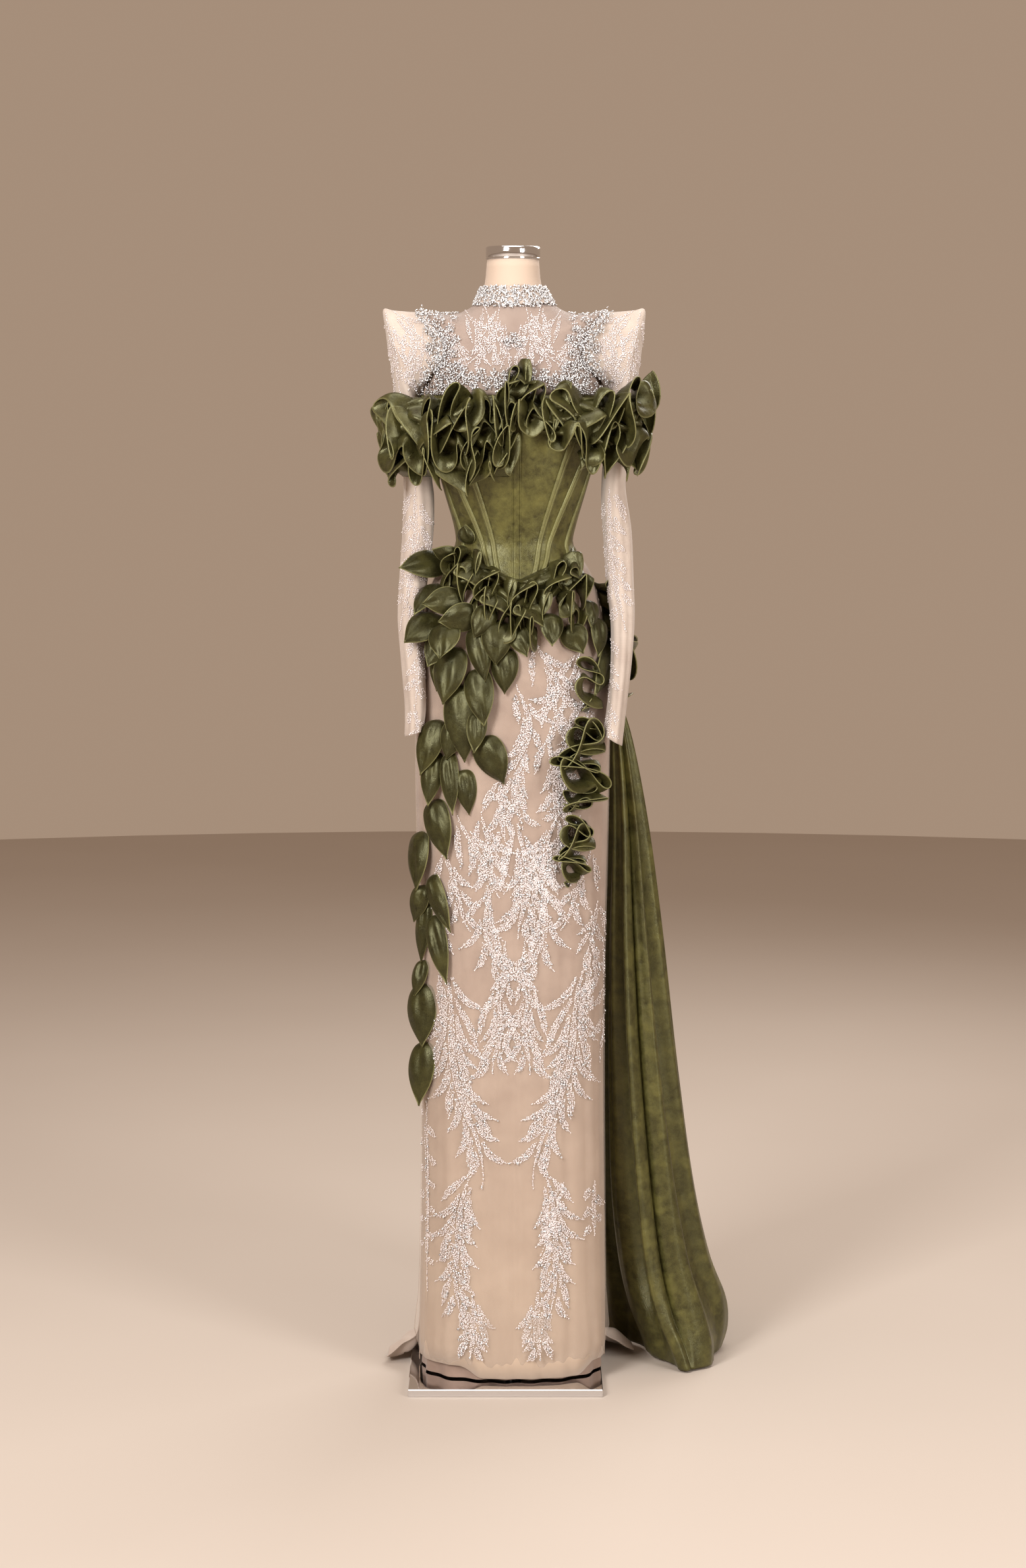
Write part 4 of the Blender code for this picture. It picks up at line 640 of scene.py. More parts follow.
# Finishes
class Finish:
    """A named material with short ways to add and join its nodes."""

    def __init__(self, name, **surface):
        self.made = bpy.data.materials.new(name)
        self.made.use_nodes = True
        self.tree = self.made.node_tree
        self.shader = self.tree.nodes["Principled BSDF"]
        self.feed(self.shader, {key.replace("_", " "): value for key, value in surface.items()})

    def feed(self, node, inputs):
        for key, value in inputs.items():
            if isinstance(value, bpy.types.NodeSocket):
                self.tree.links.new(value, node.inputs[key])
            else:
                node.inputs[key].default_value = value

    def add(self, kind, settings, inputs, output=0):
        node = self.tree.nodes.new("ShaderNode" + kind)
        for key, value in settings.items():
            setattr(node, key, value)
        self.feed(node, inputs)
        return node.outputs[output]

    def place(self, scale=(1.0, 1.0, 1.0), cut=False):
        """Where a point lies on the gown, or on its own cut piece of cloth."""
        source = self.tree.nodes.new("ShaderNodeTexCoord").outputs["UV" if cut else "Object"]
        return self.add("Mapping", {}, {"Vector": source, "Scale": scale})

    def noise(self, vector, scale, detail=2.0, rough=0.5):
        return self.add("TexNoise", {}, {
            "Vector": vector, "Scale": scale, "Detail": detail, "Roughness": rough})

    def threads(self, vector, scale, direction, ripple):
        return self.add("TexWave", {"bands_direction": direction}, {
            "Vector": vector, "Scale": scale, "Distortion": ripple})

    def math(self, operation, first, second):
        return self.add("Math", {"operation": operation}, {0: first, 1: second})

    def between(self, share, low, high, start=0.0, stop=1.0):
        return self.add("MapRange", {}, {
            "Value": share, "From Min": start, "From Max": stop, "To Min": low, "To Max": high})

    def colours(self, share, stops):
        node = self.tree.nodes.new("ShaderNodeValToRGB")
        ramp = node.color_ramp
        while len(ramp.elements) < len(stops):
            ramp.elements.new(0.5)
        for element, (position, colour) in zip(ramp.elements, stops):
            element.position = position
            element.color = (*colour, 1.0)
        self.tree.links.new(share, node.inputs[0])
        return node.outputs[0]

    def mix(self, share, first, second):
        """Two colours mixed: they are inputs 6 and 7 of the node, and the mix is output 2."""
        pair = [(*tone, 1.0) if isinstance(tone, tuple) else tone for tone in (first, second)]
        return self.add("Mix", {"data_type": "RGBA"}, {0: share, 6: pair[0], 7: pair[1]}, 2)

    def bump(self, height, distance, strength, under=None):
        inputs = {"Height": height, "Distance": distance, "Strength": strength}
        if under is not None:
            inputs["Normal"] = under
        return self.add("Bump", {}, inputs)

    def link(self, **inputs):
        self.feed(self.shader, {key.replace("_", " "): value for key, value in inputs.items()})
        return self.made


# The pale colour is both the light flecks of the pile and the highlight painted along edges.
VELVET_DARK, VELVET_MID, VELVET_PALE_PILE_AND_HIGHLIGHT = (0.008, 0.006, 0.001), (0.040, 0.036, 0.009), (0.22, 0.21, 0.09)
VELVET_SHEEN, VELVET_GLOSS = (0.80, 0.76, 0.40, 1.0), (0.98, 0.96, 0.56, 1.0)
PILE_SCALE, CRUSHED_SCALE = 1100.0, 26.0


def velvet_finish(name, rim_highlight=0.0, nap=75.0, gloss=(0.25, 0.37), tone=1.0, crushed=2.4,
                  shine=0.7):
    """Silk velvet: mottled nap, a soft olive gloss, a tone that paints light and shade on the whole piece,
    and a highlight painted along edges where asked.
    """
    made = Finish(name, Sheen_Weight=0.06, Sheen_Roughness=0.35, Sheen_Tint=VELVET_SHEEN,
                  IOR=1.5, Specular_IOR_Level=shine, Specular_Tint=VELVET_GLOSS)
    where = made.place()
    mottle = made.noise(where, nap, 4.0, 0.65)
    pile = made.noise(where, PILE_SCALE, 2.0, 0.7)
    # tone scales the base colour of each copy of the velvet: below 1 it is painted shade, above 1 painted
    # light.
    dark, middle = (tuple(tone * part for part in colour) for colour in (VELVET_DARK, VELVET_MID))
    colour = made.colours(mottle, [(0.32, dark), (0.68, middle)])
    patch = made.between(made.noise(where, CRUSHED_SCALE, 3.0, 0.6), 0.0, 0.45, 0.50, 0.68)
    colour = made.mix(patch, colour, tuple(crushed * part for part in middle))
    colour = made.mix(made.between(pile, 0.0, 0.2, 0.42, 0.8), colour, VELVET_PALE_PILE_AND_HIGHLIGHT)
    # Painted highlight: the pale colour laid over edges, as far as the rim attribute reaches.
    if rim_highlight:
        rim = made.tree.nodes.new("ShaderNodeAttribute")
        rim.attribute_name = "rim"
        colour = made.mix(made.between(rim.outputs["Fac"], 0.0, rim_highlight), colour, VELVET_PALE_PILE_AND_HIGHLIGHT)
    relief = made.bump(pile, 0.0004, 0.5)
    relief = made.bump(mottle, 0.0018, 0.5, relief)
    roughness = made.between(mottle, *gloss, 0.3, 0.7)
    return made.link(Base_Color=colour, Normal=relief, Roughness=roughness)


# A Wave texture of scale 1 has bands this long, and the net has threads this far apart
WAVE_SPAN, NET_PITCH = 0.314, 0.0011
NUDE_DARK, NUDE_LIGHT = (0.38, 0.29, 0.24), (0.53, 0.44, 0.375)


def net_finish(name, dark, light, alpha=1.0, hem=None, cuff=None):
    """Silk tulle: a fine mesh of threads with uneven tone, paler at a hem, or thin at a cuff."""
    made = Finish(name, Roughness=0.75, Sheen_Weight=0.25, Sheen_Roughness=0.5)
    cut = made.place(cut=True)
    warp, weft = (made.threads(cut, WAVE_SPAN / NET_PITCH, way, 0.4) for way in "XY")
    thread = made.math("MAXIMUM", warp, weft)
    cloud = made.noise(made.place(), 22.0, 3.0, 0.6)
    yarn = made.between(thread, 0.0, 0.5)
    ground = made.colours(cloud, [(0.3, dark), (0.7, light)])
    colour = made.mix(yarn, ground, light)
    if hem:
        height = made.add("SeparateXYZ", {}, {0: made.place()}, "Z")
        colour = made.mix(made.between(height, 0.9, 0.0, 0.15, 0.70), colour, hem)
    if cuff:
        along = made.add("SeparateXYZ", {}, {0: cut}, "Y")
        weave = made.between(thread, 0.8, 1.0)
        end = made.between(along, 1.0, 0.9, *cuff)
        made.link(Alpha=made.math("MULTIPLY", weave, end))
    elif alpha < 1.0:
        made.link(Alpha=made.between(thread, 0.35 * alpha, min(1.4 * alpha, 1.0)))
    return made.link(Base_Color=colour, Normal=made.bump(thread, 0.0002, 0.5))


def form_cover():
    """Closely woven cotton of the dress form."""
    made = Finish("form_cotton", Roughness=0.85, Sheen_Weight=0.15)
    where = made.place()
    threads = made.math("MAXIMUM", *(made.threads(where, 330.0, way, 0.6) for way in ("Z", "DIAGONAL")))
    cloud = made.between(made.noise(where, 9.0, 3.0), 0.0, 0.5)
    return made.link(Base_Color=made.mix(cloud, (0.52, 0.40, 0.31), (0.60, 0.48, 0.38)),
                     Normal=made.bump(threads, 0.0002, 0.4))


def metal_finish(name, colour, low, high, stretch=(1.0, 1.0, 1.0), scale=40.0):
    """Polished or brushed metal with faint wipe marks."""
    made = Finish(name, Metallic=1.0)
    marks = made.noise(made.place(stretch), scale, 4.0, 0.6)
    tone = made.mix(made.between(marks, 0.0, 0.25), colour, tuple(0.82 * part for part in colour))
    return made.link(Base_Color=tone, Roughness=made.between(marks, low, high),
                     Normal=made.bump(marks, 0.00002, 0.3))


def bead_finish(name, colour, shade, metallic, roughness):
    """Silver-lined glass with a little change of tone from bead to bead."""
    made = Finish(name, Metallic=metallic, Roughness=roughness, Specular_IOR_Level=1.0)
    tone = made.between(made.noise(made.place(), 420.0, 1.0), 0.0, 1.0, 0.35, 0.65)
    return made.link(Base_Color=made.mix(tone, shade, colour))


# One olive velvet in four copies whose tone stands for the light and shade on their pieces: the leaves
# darkest (0.5), then the frills and bands (0.8), the train (1.4) and the corset lightest (2.0).
velvet = velvet_finish("silk_velvet", rim_highlight=0.7, tone=0.8, shine=0.62)
train_velvet = velvet_finish("train_velvet", nap=60.0, gloss=(0.30, 0.42), tone=1.4)
corset_velvet = velvet_finish("corset_velvet", rim_highlight=0.4, nap=90.0, gloss=(0.30, 0.44), tone=2.0,
                              crushed=1.7)
leaf_velvet = velvet_finish("leaf_velvet", rim_highlight=0.8, nap=60.0, gloss=(0.26, 0.38), tone=0.5,
                            shine=0.42)
nude_net = net_finish("nude_net", NUDE_DARK, NUDE_LIGHT)
sleeve_net = net_finish("sleeve_net", (0.42, 0.33, 0.275), (0.58, 0.49, 0.42), cuff=(0.50, 0.60))
skirt_net = net_finish("skirt_net", (0.26, 0.17, 0.13), (0.37, 0.265, 0.21), hem=(0.50, 0.38, 0.28))
yoke_net = net_finish("yoke_net", (0.27, 0.19, 0.155), (0.40, 0.31, 0.26), alpha=0.85)
lining_net = net_finish("lining_net", (0.20, 0.13, 0.095), (0.31, 0.215, 0.165))
sheer_tulle = net_finish("sheer_tulle", (0.42, 0.33, 0.27), (0.62, 0.51, 0.42), alpha=0.30)
cotton = form_cover()
mirror_steel = metal_finish("mirror_steel", (0.80, 0.80, 0.82), 0.02, 0.09, scale=14.0)
chrome = metal_finish("turned_chrome", (0.78, 0.78, 0.80), 0.05, 0.13, stretch=(1.0, 1.0, 14.0))
brushed_steel = metal_finish("brushed_steel", (0.62, 0.62, 0.63), 0.18, 0.34, stretch=(30.0, 30.0, 1.0))
seed_glass = bead_finish("seed_glass", (0.90, 0.84, 0.83), (0.68, 0.60, 0.59), 0.0, 0.20)
crystal = bead_finish("cut_crystal", (1.0, 1.0, 1.0), (0.36, 0.35, 0.36), 0.60, 0.10)


# Camera, light and floor
def make_studio():
    """Camera at the photograph's angle, soft light from above and a plain pale floor."""
    scene = bpy.context.scene
    camera = bpy.data.objects.new("camera", bpy.data.cameras.new("camera"))
    camera.data.sensor_width = 36.0
    camera.data.lens = 77.45
    camera.location = (0.0, -5.30, 1.538)
    camera.rotation_euler = (radians(83.67), 0.0, 0.0)
    scene.collection.objects.link(camera)
    scene.camera = camera
    scene.view_settings.view_transform = "Standard"
    world = bpy.data.worlds.new("studio")
    scene.world = world
    world.use_nodes = True
    world.node_tree.nodes["Background"].inputs[0].default_value = (0.95, 0.68, 0.49, 1.0)
    world.node_tree.nodes["Background"].inputs[1].default_value = 0.40
    for name, place, size, power in (
            ("key_light", (-1.9, -3.4, 2.7), (1.1, 1.8), 175.0),
            ("fill_light", (2.4, -2.9, 1.9), (1.0, 1.8), 85.0),
            ("rim_light", (1.4, 2.6, 3.0), (2.0, 1.6), 60.0),
            ("top_light", (0.0, -0.6, 4.4), (2.4, 2.4), 70.0)):
        light = bpy.data.objects.new(name, bpy.data.lights.new(name, "AREA"))
        light.data.shape = "RECTANGLE"
        light.data.size, light.data.size_y = size
        light.data.energy = power
        light.data.color = (1.0, 0.98, 0.96)
        light.location = place
        aim = Vector((0.0, 0.0, 1.0)) - light.location
        light.rotation_euler = aim.to_track_quat("-Z", "Y").to_euler()
        scene.collection.objects.link(light)
    made = bmesh.new()
    bmesh.ops.create_circle(made, cap_ends=True, segments=96, radius=7.0)
    mesh = bpy.data.meshes.new("floor")
    made.to_mesh(mesh)
    made.free()
    floor = bpy.data.objects.new("floor", mesh)
    plaster = Finish("floor_plaster", Roughness=0.85)
    tone = plaster.noise(plaster.place(), 1.4, 2.0)
    mesh.materials.append(plaster.link(Base_Color=plaster.mix(
        plaster.between(tone, 0.0, 0.5), (0.50, 0.43, 0.37), (0.56, 0.49, 0.43))))
    scene.collection.objects.link(floor)


# Form, plate, pole, cap
FORM_TOP, FORM_FOOT_ROW = 1.7697, 19.7
CAP_RADIUS, CAP_TOP, CAP_FOOT = 0.0424, 1.790, 1.7700


def make_form():
    """The torso inside the gown and the metal parts of the stand."""
    def torso(u, v):
        level, turn = FORM_FOOT_ROW * v, 2 * pi * u
        slack = blend(FORM_SLACK, level)
        point = body_point(level, turn, -0.0008 - slack.inside)
        point[:, 2] -= slack.below * np.sin(turn) ** 2
        point[v <= 0.0, 2] = FORM_TOP
        point[:, :2] *= 1.0 - 0.75 * ease(0.955, 1.0, v)[:, None]
        return point

    piece = cloth("form_body", torso, 64, 60, cotton, ["form_torso"], closed=True)
    made = bmesh.new()
    made.from_mesh(piece.data)
    bmesh.ops.holes_fill(made, edges=[e for e in made.edges if e.is_boundary], sides=0)
    made.to_mesh(piece.data)
    made.free()
    radius, top, foot = CAP_RADIUS, CAP_TOP, CAP_FOOT
    turned("cap_turned", [
        (0.0, top - 0.0016), (radius - 0.0085, top - 0.0016), (radius - 0.0075, top - 0.0004),
        (radius - 0.0030, top), (radius - 0.0010, top - 0.0008), (radius, top - 0.0030),
        (radius, foot + 0.0040), (radius - 0.0006, foot + 0.0034), (radius - 0.0006, foot + 0.0026),
        (radius, foot + 0.0020), (radius, foot + 0.0008), (radius - 0.0008, foot), (0.0, foot),
    ], 96, chrome, ["neck_cap"])
    for node, metal in (("base_plate", mirror_steel), ("pole", brushed_steel)):
        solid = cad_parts[node]
        solid.data.materials.clear()
        solid.data.materials.append(metal)


# Yoke, collar, sleeves
def armhole_reach(row, underarm):
    """Turn of the armhole's edge at a row: drawn in below the shoulder and out again."""
    share = (row - SHOULDER_ROW) / (UNDERARM_ROW - SHOULDER_ROW)
    upper = pi / 2 - ARMHOLE_CUT * np.sin(pi * np.clip(share, 0.0, 0.5)) ** 0.6
    lower = np.clip(2.0 * share - 1.0, 0.0, 1.0)
    below = pi / 2 - ARMHOLE_CUT + (ARMHOLE_CUT - underarm) * lower * lower
    return np.where(share < 0.5, upper, below)


def yoke_point(u, v, facing):
    """Point of the front (1) or back (-1) yoke, v from the neck down."""
    row = COLLAR_ROW + (UNDERARM_ROW - COLLAR_ROW) * v
    turn = (2 * u - 1) * armhole_reach(row, YOKE_UNDERARM)
    if facing < 0:
        turn = pi - turn
    point = body_point(row, turn)
    point[:, 1] -= facing * SIDE_GAP
    point[:, 2] += 0.0005
    return point


def make_yoke():
    """Front and back of the net yoke and the standing collar."""
    for name, node, facing in (("yoke_net_front", "yoke_front", 1), ("yoke_net_back", "yoke_back", -1)):
        def net(u, v, facing=facing):
            return yoke_point(u, v, facing)

        piece = cloth(name, net, 64, 40, yoke_net, [node], wall=YOKE_WALL, size=(0.40, 0.22))

    def band(u, v):
        foot, top = body_point(COLLAR_ROW, 2 * pi * u), body_point(1.0, 2 * pi * u)
        foot[:, 2] += 0.0022
        top[:, 2] = COLLAR_TOP
        return foot + (top - foot) * v[:, None]

    piece = cloth("collar_band", band, 144, 14, nude_net, ["collar"], wall=0.0020,
                  closed=True, size=(0.33, 0.03))


def armhole_point(around, side):
    """Point of the armhole's edge, around from the top over the front to the foot and back."""
    share = (1 - np.cos(around)) / 2
    row = SHOULDER_ROW + (UNDERARM_ROW - SHOULDER_ROW) * share
    turn = armhole_reach(row, 0.0)
    turn = np.where(np.sin(around) < 0, pi - turn, turn)
    point = body_point(row, side * turn, YOKE_WALL)
    point[:, 0] += side * (0.0011 + 0.0020 * share)
    point[:, 2] += 0.0012 - 0.0020 * share
    return point


def sleeve_ring(table, side, row, around, out=0.0):
    """Point of a sleeve's ring."""
    ring = blend(table, row)
    outer = np.stack([side * ring.outer_x, 0 * row, ring.outer_z], -1)
    inner = np.stack([side * ring.inner_x, 0 * row, ring.inner_z], -1)
    reach = (outer - inner) / 2
    narrow = 1.0 - ring.pinch * np.maximum(0.0, np.cos(around)) ** 2
    length = np.linalg.norm(reach, axis=-1)
    point = (outer + inner) / 2 + reach * ((1 + out / length) * np.cos(around))[:, None]
    point[:, 1] = ring.mid_y - (ring.half_depth + out) * np.sin(around) * narrow
    return point


def sleeve_point(table, side, u, v, out=0.0):
    """Point of a sleeve, u around it and v from the armhole to the cuff."""
    around = 2 * pi * u
    row = v * len(table) - 1.0
    ring = sleeve_ring(table, side, np.maximum(row, 0.0), around, out)
    share = np.clip(row + 1.0, 0.0, 1.0)[:, None]
    return np.where(share < 1.0, armhole_point(around, side) * (1 - share) + ring * share, ring)


def make_sleeves():
    """The two hanging net sleeves."""
    for name, node, table, side in (("sleeve_net_right", "sleeve_right", RIGHT_SLEEVE, -1),
                                    ("sleeve_net_left", "sleeve_left", LEFT_SLEEVE, 1)):
        def place(u, v, table=table, side=side):
            crease = 0.0012 * np.sin(2 * pi * 7 * u + 3 * np.sin(5 * v + side)) * ease(0.12, 0.3, v)
            return sleeve_point(table, side, u, v, crease)

        piece = cloth(name, place, 48, 100, sleeve_net, [node], wall=SLEEVE_WALL, closed=True,
                      size=(0.17, 0.66))


# Corset
# A boning channel across: places in half widths from its centre line and the rise there, with
# a groove at each row of stitching and one down its middle
CHANNEL_PROFILE = [
    (-1.7, 0.0), (-1.40, 0.1), (-1.15, -1.2), (-1.0, -1.2), (-0.85, 0.6), (-0.65, 1.2),
    (-0.40, 1.5), (-0.10, 1.3), (0.0, 0.3), (0.10, 1.3), (0.40, 1.5), (0.65, 1.2), (0.85, 0.6),
    (1.0, -1.2), (1.15, -1.2), (1.40, 0.1), (1.7, 0.0)]
CHANNEL_RELIEF = 1.6 * CHANNEL_RISE
WIDEST_COLUMN = 1.6


def panel_columns():
    """Columns across a front panel from the busk to the side seam: bottom and top turn in
    degrees, and the rise of the boning channel there."""
    columns = [(0.0, 0.0, 0.0)]
    for channel in CHANNELS:
        for step, rise in CHANNEL_PROFILE:
            shift = step * channel.half_turn
            columns.append((channel.bottom_turn + shift, channel.top_turn + shift, rise))
    columns.append((90.0, 90.0, 0.0))
    filled = columns[:1]
    for before, after in zip(columns, columns[1:]):
        parts = 1 + int(max(after[0] - before[0], after[1] - before[1]) / WIDEST_COLUMN)
        for part in range(1, parts + 1):
            share = part / parts
            filled.append(tuple(a + (b - a) * share for a, b in zip(before, after)))
    return np.array(filled)


def make_corset():
    """Two boned fronts, the busk strip between them and the back."""
    columns = panel_columns()
    last = len(columns) - 1
    busk_side = BUSK_HALF_WIDTH + 0.0003

    def column_at(u):
        return columns[np.round(u * last).astype(int)]

    def panel_point(u, v, side):
        bottom, top, rise = column_at(u).T
        edge = turn_at(BUSK_X + side * busk_side, row_at(CORSET_FOOT))
        foot = corset_foot(edge + (side * pi / 2 - edge) * bottom / 90)
        z = CORSET_TOP + (foot - CORSET_TOP) * v
        row = row_at(z)
        edge = turn_at(BUSK_X + side * busk_side, row)
        share = np.maximum(0.0, (z - foot) / (CORSET_TOP - foot))
        across = (bottom + (top - bottom) * share ** 0.7) / 90
        turn = edge + (side * pi / 2 - edge) * across
        point = body_point(row, turn) + outward(row, turn) * (CHANNEL_RELIEF * rise)[:, None]
        point[:, 1] -= SIDE_GAP
        return point

    for name, node, side in (("corset_panel_right", "corset_front_right", -1),
                             ("corset_panel_left", "corset_front_left", 1)):
        def panel(u, v, side=side):
            return panel_point(u, v, side)

        # Along the crest of each boning channel the finish paints a highlight.
        def channel_crest_highlight(u, v):
            return 1.0 * (column_at(u)[:, 2] > 1.15)

        piece = cloth(name, panel, last, 44, corset_velvet, [node], wall=CORSET_WALL,
                      size=(0.15, 0.28), rim=channel_crest_highlight)

    def busk_point(u, v):
        z = BUSK_TOP + (corset_foot(BUSK_TURN) - BUSK_TOP) * v
        row = row_at(z)
        turn = turn_at(BUSK_X + (2 * u - 1) * BUSK_HALF_WIDTH, row)
        across = np.abs(2 * u - 1)
        stitching = 0.0007 * np.exp(-((across - 0.68) / 0.07) ** 2)
        rise = BUSK_RISE * (1 - ease(0.80, 1.0, across)) - stitching
        return body_point(row, turn) + outward(row, turn) * rise[:, None]

    piece = cloth("corset_busk_strip", busk_point, 24, 44, corset_velvet, ["corset_busk"],
                  wall=CORSET_WALL, size=(0.012, 0.28))

    def back_point(u, v):
        row = row_at(CORSET_TOP + (corset_foot(pi) - CORSET_TOP) * v)
        turn = pi / 2 + pi * u
        seam = sum(np.exp(-((u - at) / 0.006) ** 2) for at in (0.22, 0.40, 0.60, 0.78))
        point = body_point(row, turn) - outward(row, turn) * (0.0008 * seam)[:, None]
        point[:, 1] += SIDE_GAP
        return point

    piece = cloth("corset_back_panel", back_point, 150, 30, corset_velvet, ["corset_back"],
                  wall=CORSET_WALL, size=(0.30, 0.28))


# Skirt and trains
FRONT_SEAM = WAIST_SEAM + 0.0016
FRONT_HEM, HEM_DIP, TULLE_HEM = 0.036, 0.018, 0.037
LINING_TOP, LINING_LENGTH = 0.075, 0.060
SWEEP_START, SWEEP_TURN = radians(112.5), 26 * radians(5.625)
PLATE_MIDDLE_X, PLATE_REACH_X, PLATE_REACH_Y, PLATE_CLEAR_Z = -0.012, 0.165, 0.164, 0.015


def skirt_point(u, v, facing, out=0.0, raised=False):
    """Point of the skirt's front (1) or back (-1), v from the corset's edge to the hem. The
    front's hem dips in its middle, and the sheer tulle over it ends higher, with a raised hem."""
    turn = (2 * u - 1) * pi / 2
    if facing < 0:
        turn = pi - turn
    top = corset_foot(turn)
    top = top - np.where((facing > 0) & (np.abs(turn) < radians(80)), FRONT_SEAM, WAIST_SEAM)
    hem = HEM + 0.004 * np.sin(5 * turn)
    if facing > 0:
        dip = ease(radians(-40), radians(-22), turn) * (1.0 - ease(radians(48), radians(62), turn))
        hem = FRONT_HEM - HEM_DIP * dip
    if raised:
        hem = TULLE_HEM + 0.002 * np.sin(9 * turn) + 0.004 * ease(0.8, 1.0, np.abs(turn) * 2 / pi)
    row = row_at(top + (hem - top) * v)
    point = body_point(row, turn) + outward(row, turn) * np.reshape(out, (-1, 1))
    point[:, 1] -= facing * SIDE_GAP
    return point


def tulle_lift(u, v):
    """How far the sheer tulle hangs outside the skirt's front."""
    fold = np.sin(2 * pi * 13 * u + 2.4 * np.sin(2.2 * v + 1.0) + 0.7)
    fold = fold + 0.5 * np.sin(2 * pi * 23 * u + 1.5 * np.sin(4 * v))
    tuck = np.exp(-((v - 0.968) / 0.020) ** 2) * (0.004 + 0.003 * np.sin(31 * u + 1.0))
    return 0.0032 + 0.0010 * (1.5 + fold) * ease(0.05, 0.4, v) + tuck - 0.004 * ease(0.985, 1.0, v)


def make_skirt():
    """The net skirt, the lining inside its hem and the sheer tulle that hangs over it."""
    for name, node, facing, slot in (("skirt_net_front", "skirt_front", 1, "beaded_net"),
                                     ("skirt_net_back", "skirt_back", -1, "plain_net")):
        def net(u, v, facing=facing):
            fold = np.sin(2 * pi * 9 * u + 2 * np.sin(3 * v)) + 0.6 * np.sin(2 * pi * 17 * u + 1.3)
            return skirt_point(u, v, facing, 0.0007 * (1.3 + fold) * ease(0.02, 0.3, v))

        piece = cloth(name, net, 120, 44, skirt_net, [node], wall=SKIRT_WALL, size=(0.40, 1.26))

    def lining(u, v):
        turn = radians(-112) + radians(224) * u
        row = row_at(LINING_TOP - LINING_LENGTH * v)
        inside = 0.0045 + 0.003 * np.sin(17 * turn) * v
        return body_point(row, turn) - outward(row, turn) * inside[:, None]

    piece = cloth("skirt_lining_foot", lining, 120, 12, lining_net, size=(0.5, 0.06))

    def over(u, v):
        return skirt_point(u, v, 1, tulle_lift(u, v), True)

    piece = cloth("skirt_tulle_front", over, 160, 40, sheer_tulle, size=(0.42, 1.26))


def train_point(u, v):
    """Point of the velvet train: u from behind the skirt round the front fold, v downwards."""
    row = blend(TRAIN, v * (len(TRAIN) - 1))
    plan = np.stack([np.stack([getattr(row, f"{name}_x"), getattr(row, f"{name}_y")], -1)
                     for name in ("start", "side", "fold", "outer", "end")], 0)
    last = len(plan) - 1

    def along(share):
        position = np.minimum(np.clip(share, 0.0, 1.0) * last, last - 1e-9)
        index = position.astype(int)
        each = np.arange(len(u))
        return curve(plan[np.maximum(index - 1, 0), each], plan[index, each], plan[index + 1, each],
                     plan[np.minimum(index + 2, last), each], (position - index)[:, None])

    here = along(u)
    run = unit(along(u + 0.01) - along(u - 0.01))
    ripple = 1.7 * row.ripple * np.sin(2 * pi * 7 * u + 0.8 * np.sin(3 * v))
    ripple = ripple + row.ripple * 0.7 * np.sin(2 * pi * 3 * u + 2.0 * v)
    fine = 0.22 * np.sin(2 * pi * 19 * u + 1.7 * np.sin(4 * v + 2)) + 0.12 * np.sin(2 * pi * 31 * u + 3 * v)
    ripple = ripple + np.maximum(row.ripple, 0.0012) * fine
    return np.stack([here[:, 0] + run[:, 1] * ripple, here[:, 1] - run[:, 0] * ripple, row.z], -1)


def make_trains():
    """The velvet train at the left side and the net sweep behind the plate."""
    piece = cloth("train_velvet", train_point, 180, 56, train_velvet, ["velvet_train"],
                  wall=0.0016, offset=0.0, size=(0.8, 1.15))

    def net(u, v):
        sweep = blend(NET_SWEEP, v * (len(NET_SWEEP) - 1))
        turn = SWEEP_START + SWEEP_TURN * u
        level = row_at(np.maximum(sweep.z, HEM + 0.010))
        foot = body_point(level, turn, SKIRT_WALL + 0.0010)
        away = outward(level, turn)
        ripple = sweep.ripple * (1.0 + np.sin(2 * pi * 9 * u + 0.9 * np.sin(7 * u)))
        ripple = ripple + 0.35 * sweep.ripple * (1 + np.sin(2 * pi * 23 * u + 5 * v))
        point = foot + away * (sweep.run * (1.0 - 0.66 * np.sin(turn) ** 2))[:, None]
        point[:, 2] = sweep.z + ripple
        over = (np.abs(point[:, 0] - PLATE_MIDDLE_X) < PLATE_REACH_X) & (np.abs(point[:, 1]) < PLATE_REACH_Y)
        point[:, 2] = np.where(over, np.maximum(point[:, 2], PLATE_CLEAR_Z), point[:, 2])
        return point

    piece = cloth("train_net", net, 150, 40, nude_net, ["net_train"], wall=0.0012,
                  size=(0.55, 0.46))


# Beading
# Sides and levels of the two bead shapes, the pitch that each is sewn at, the width, depth and
# height of a bead at each place, how many stones there are, and how far the beads stand off
SEED, STONE = (4, 2), (5, 3)
SEED_PITCH, STONE_PITCH = 0.0021, 0.0028
SKIRT_SEED, YOKE_SEED = (0.0029, 0.0029, 0.0019), (0.0027, 0.0027, 0.0020)
YOKE_STONE, ARMHOLE_STONE = (0.0056, 0.0029, 0.0024), (0.0054, 0.0028, 0.0024)
COLLAR_STONE = (0.0058, 0.0030, 0.0024)
ARMHOLE_STONES, COLLAR_STONES, SKIRT_STONE_SHARE = 260, 1500, 0.07
SKIRT_LIFT, SEED_LIFT, STONE_LIFT = 0.0006, 0.0008, 0.0022
BEADED_SKIRT_TURN, SKIRT_BEADS_SPLIT = radians(86), 0.66
PIPING_RADIUS = 0.0042

# Middle lines that paired sprigs are sewn about, as z and x. The skirt's leans a little.
SKIRT_MIDDLE = [(0.190, -0.012), (0.911, 0.0087)]
YOKE_MIDDLE = [(0.0, 0.0)]


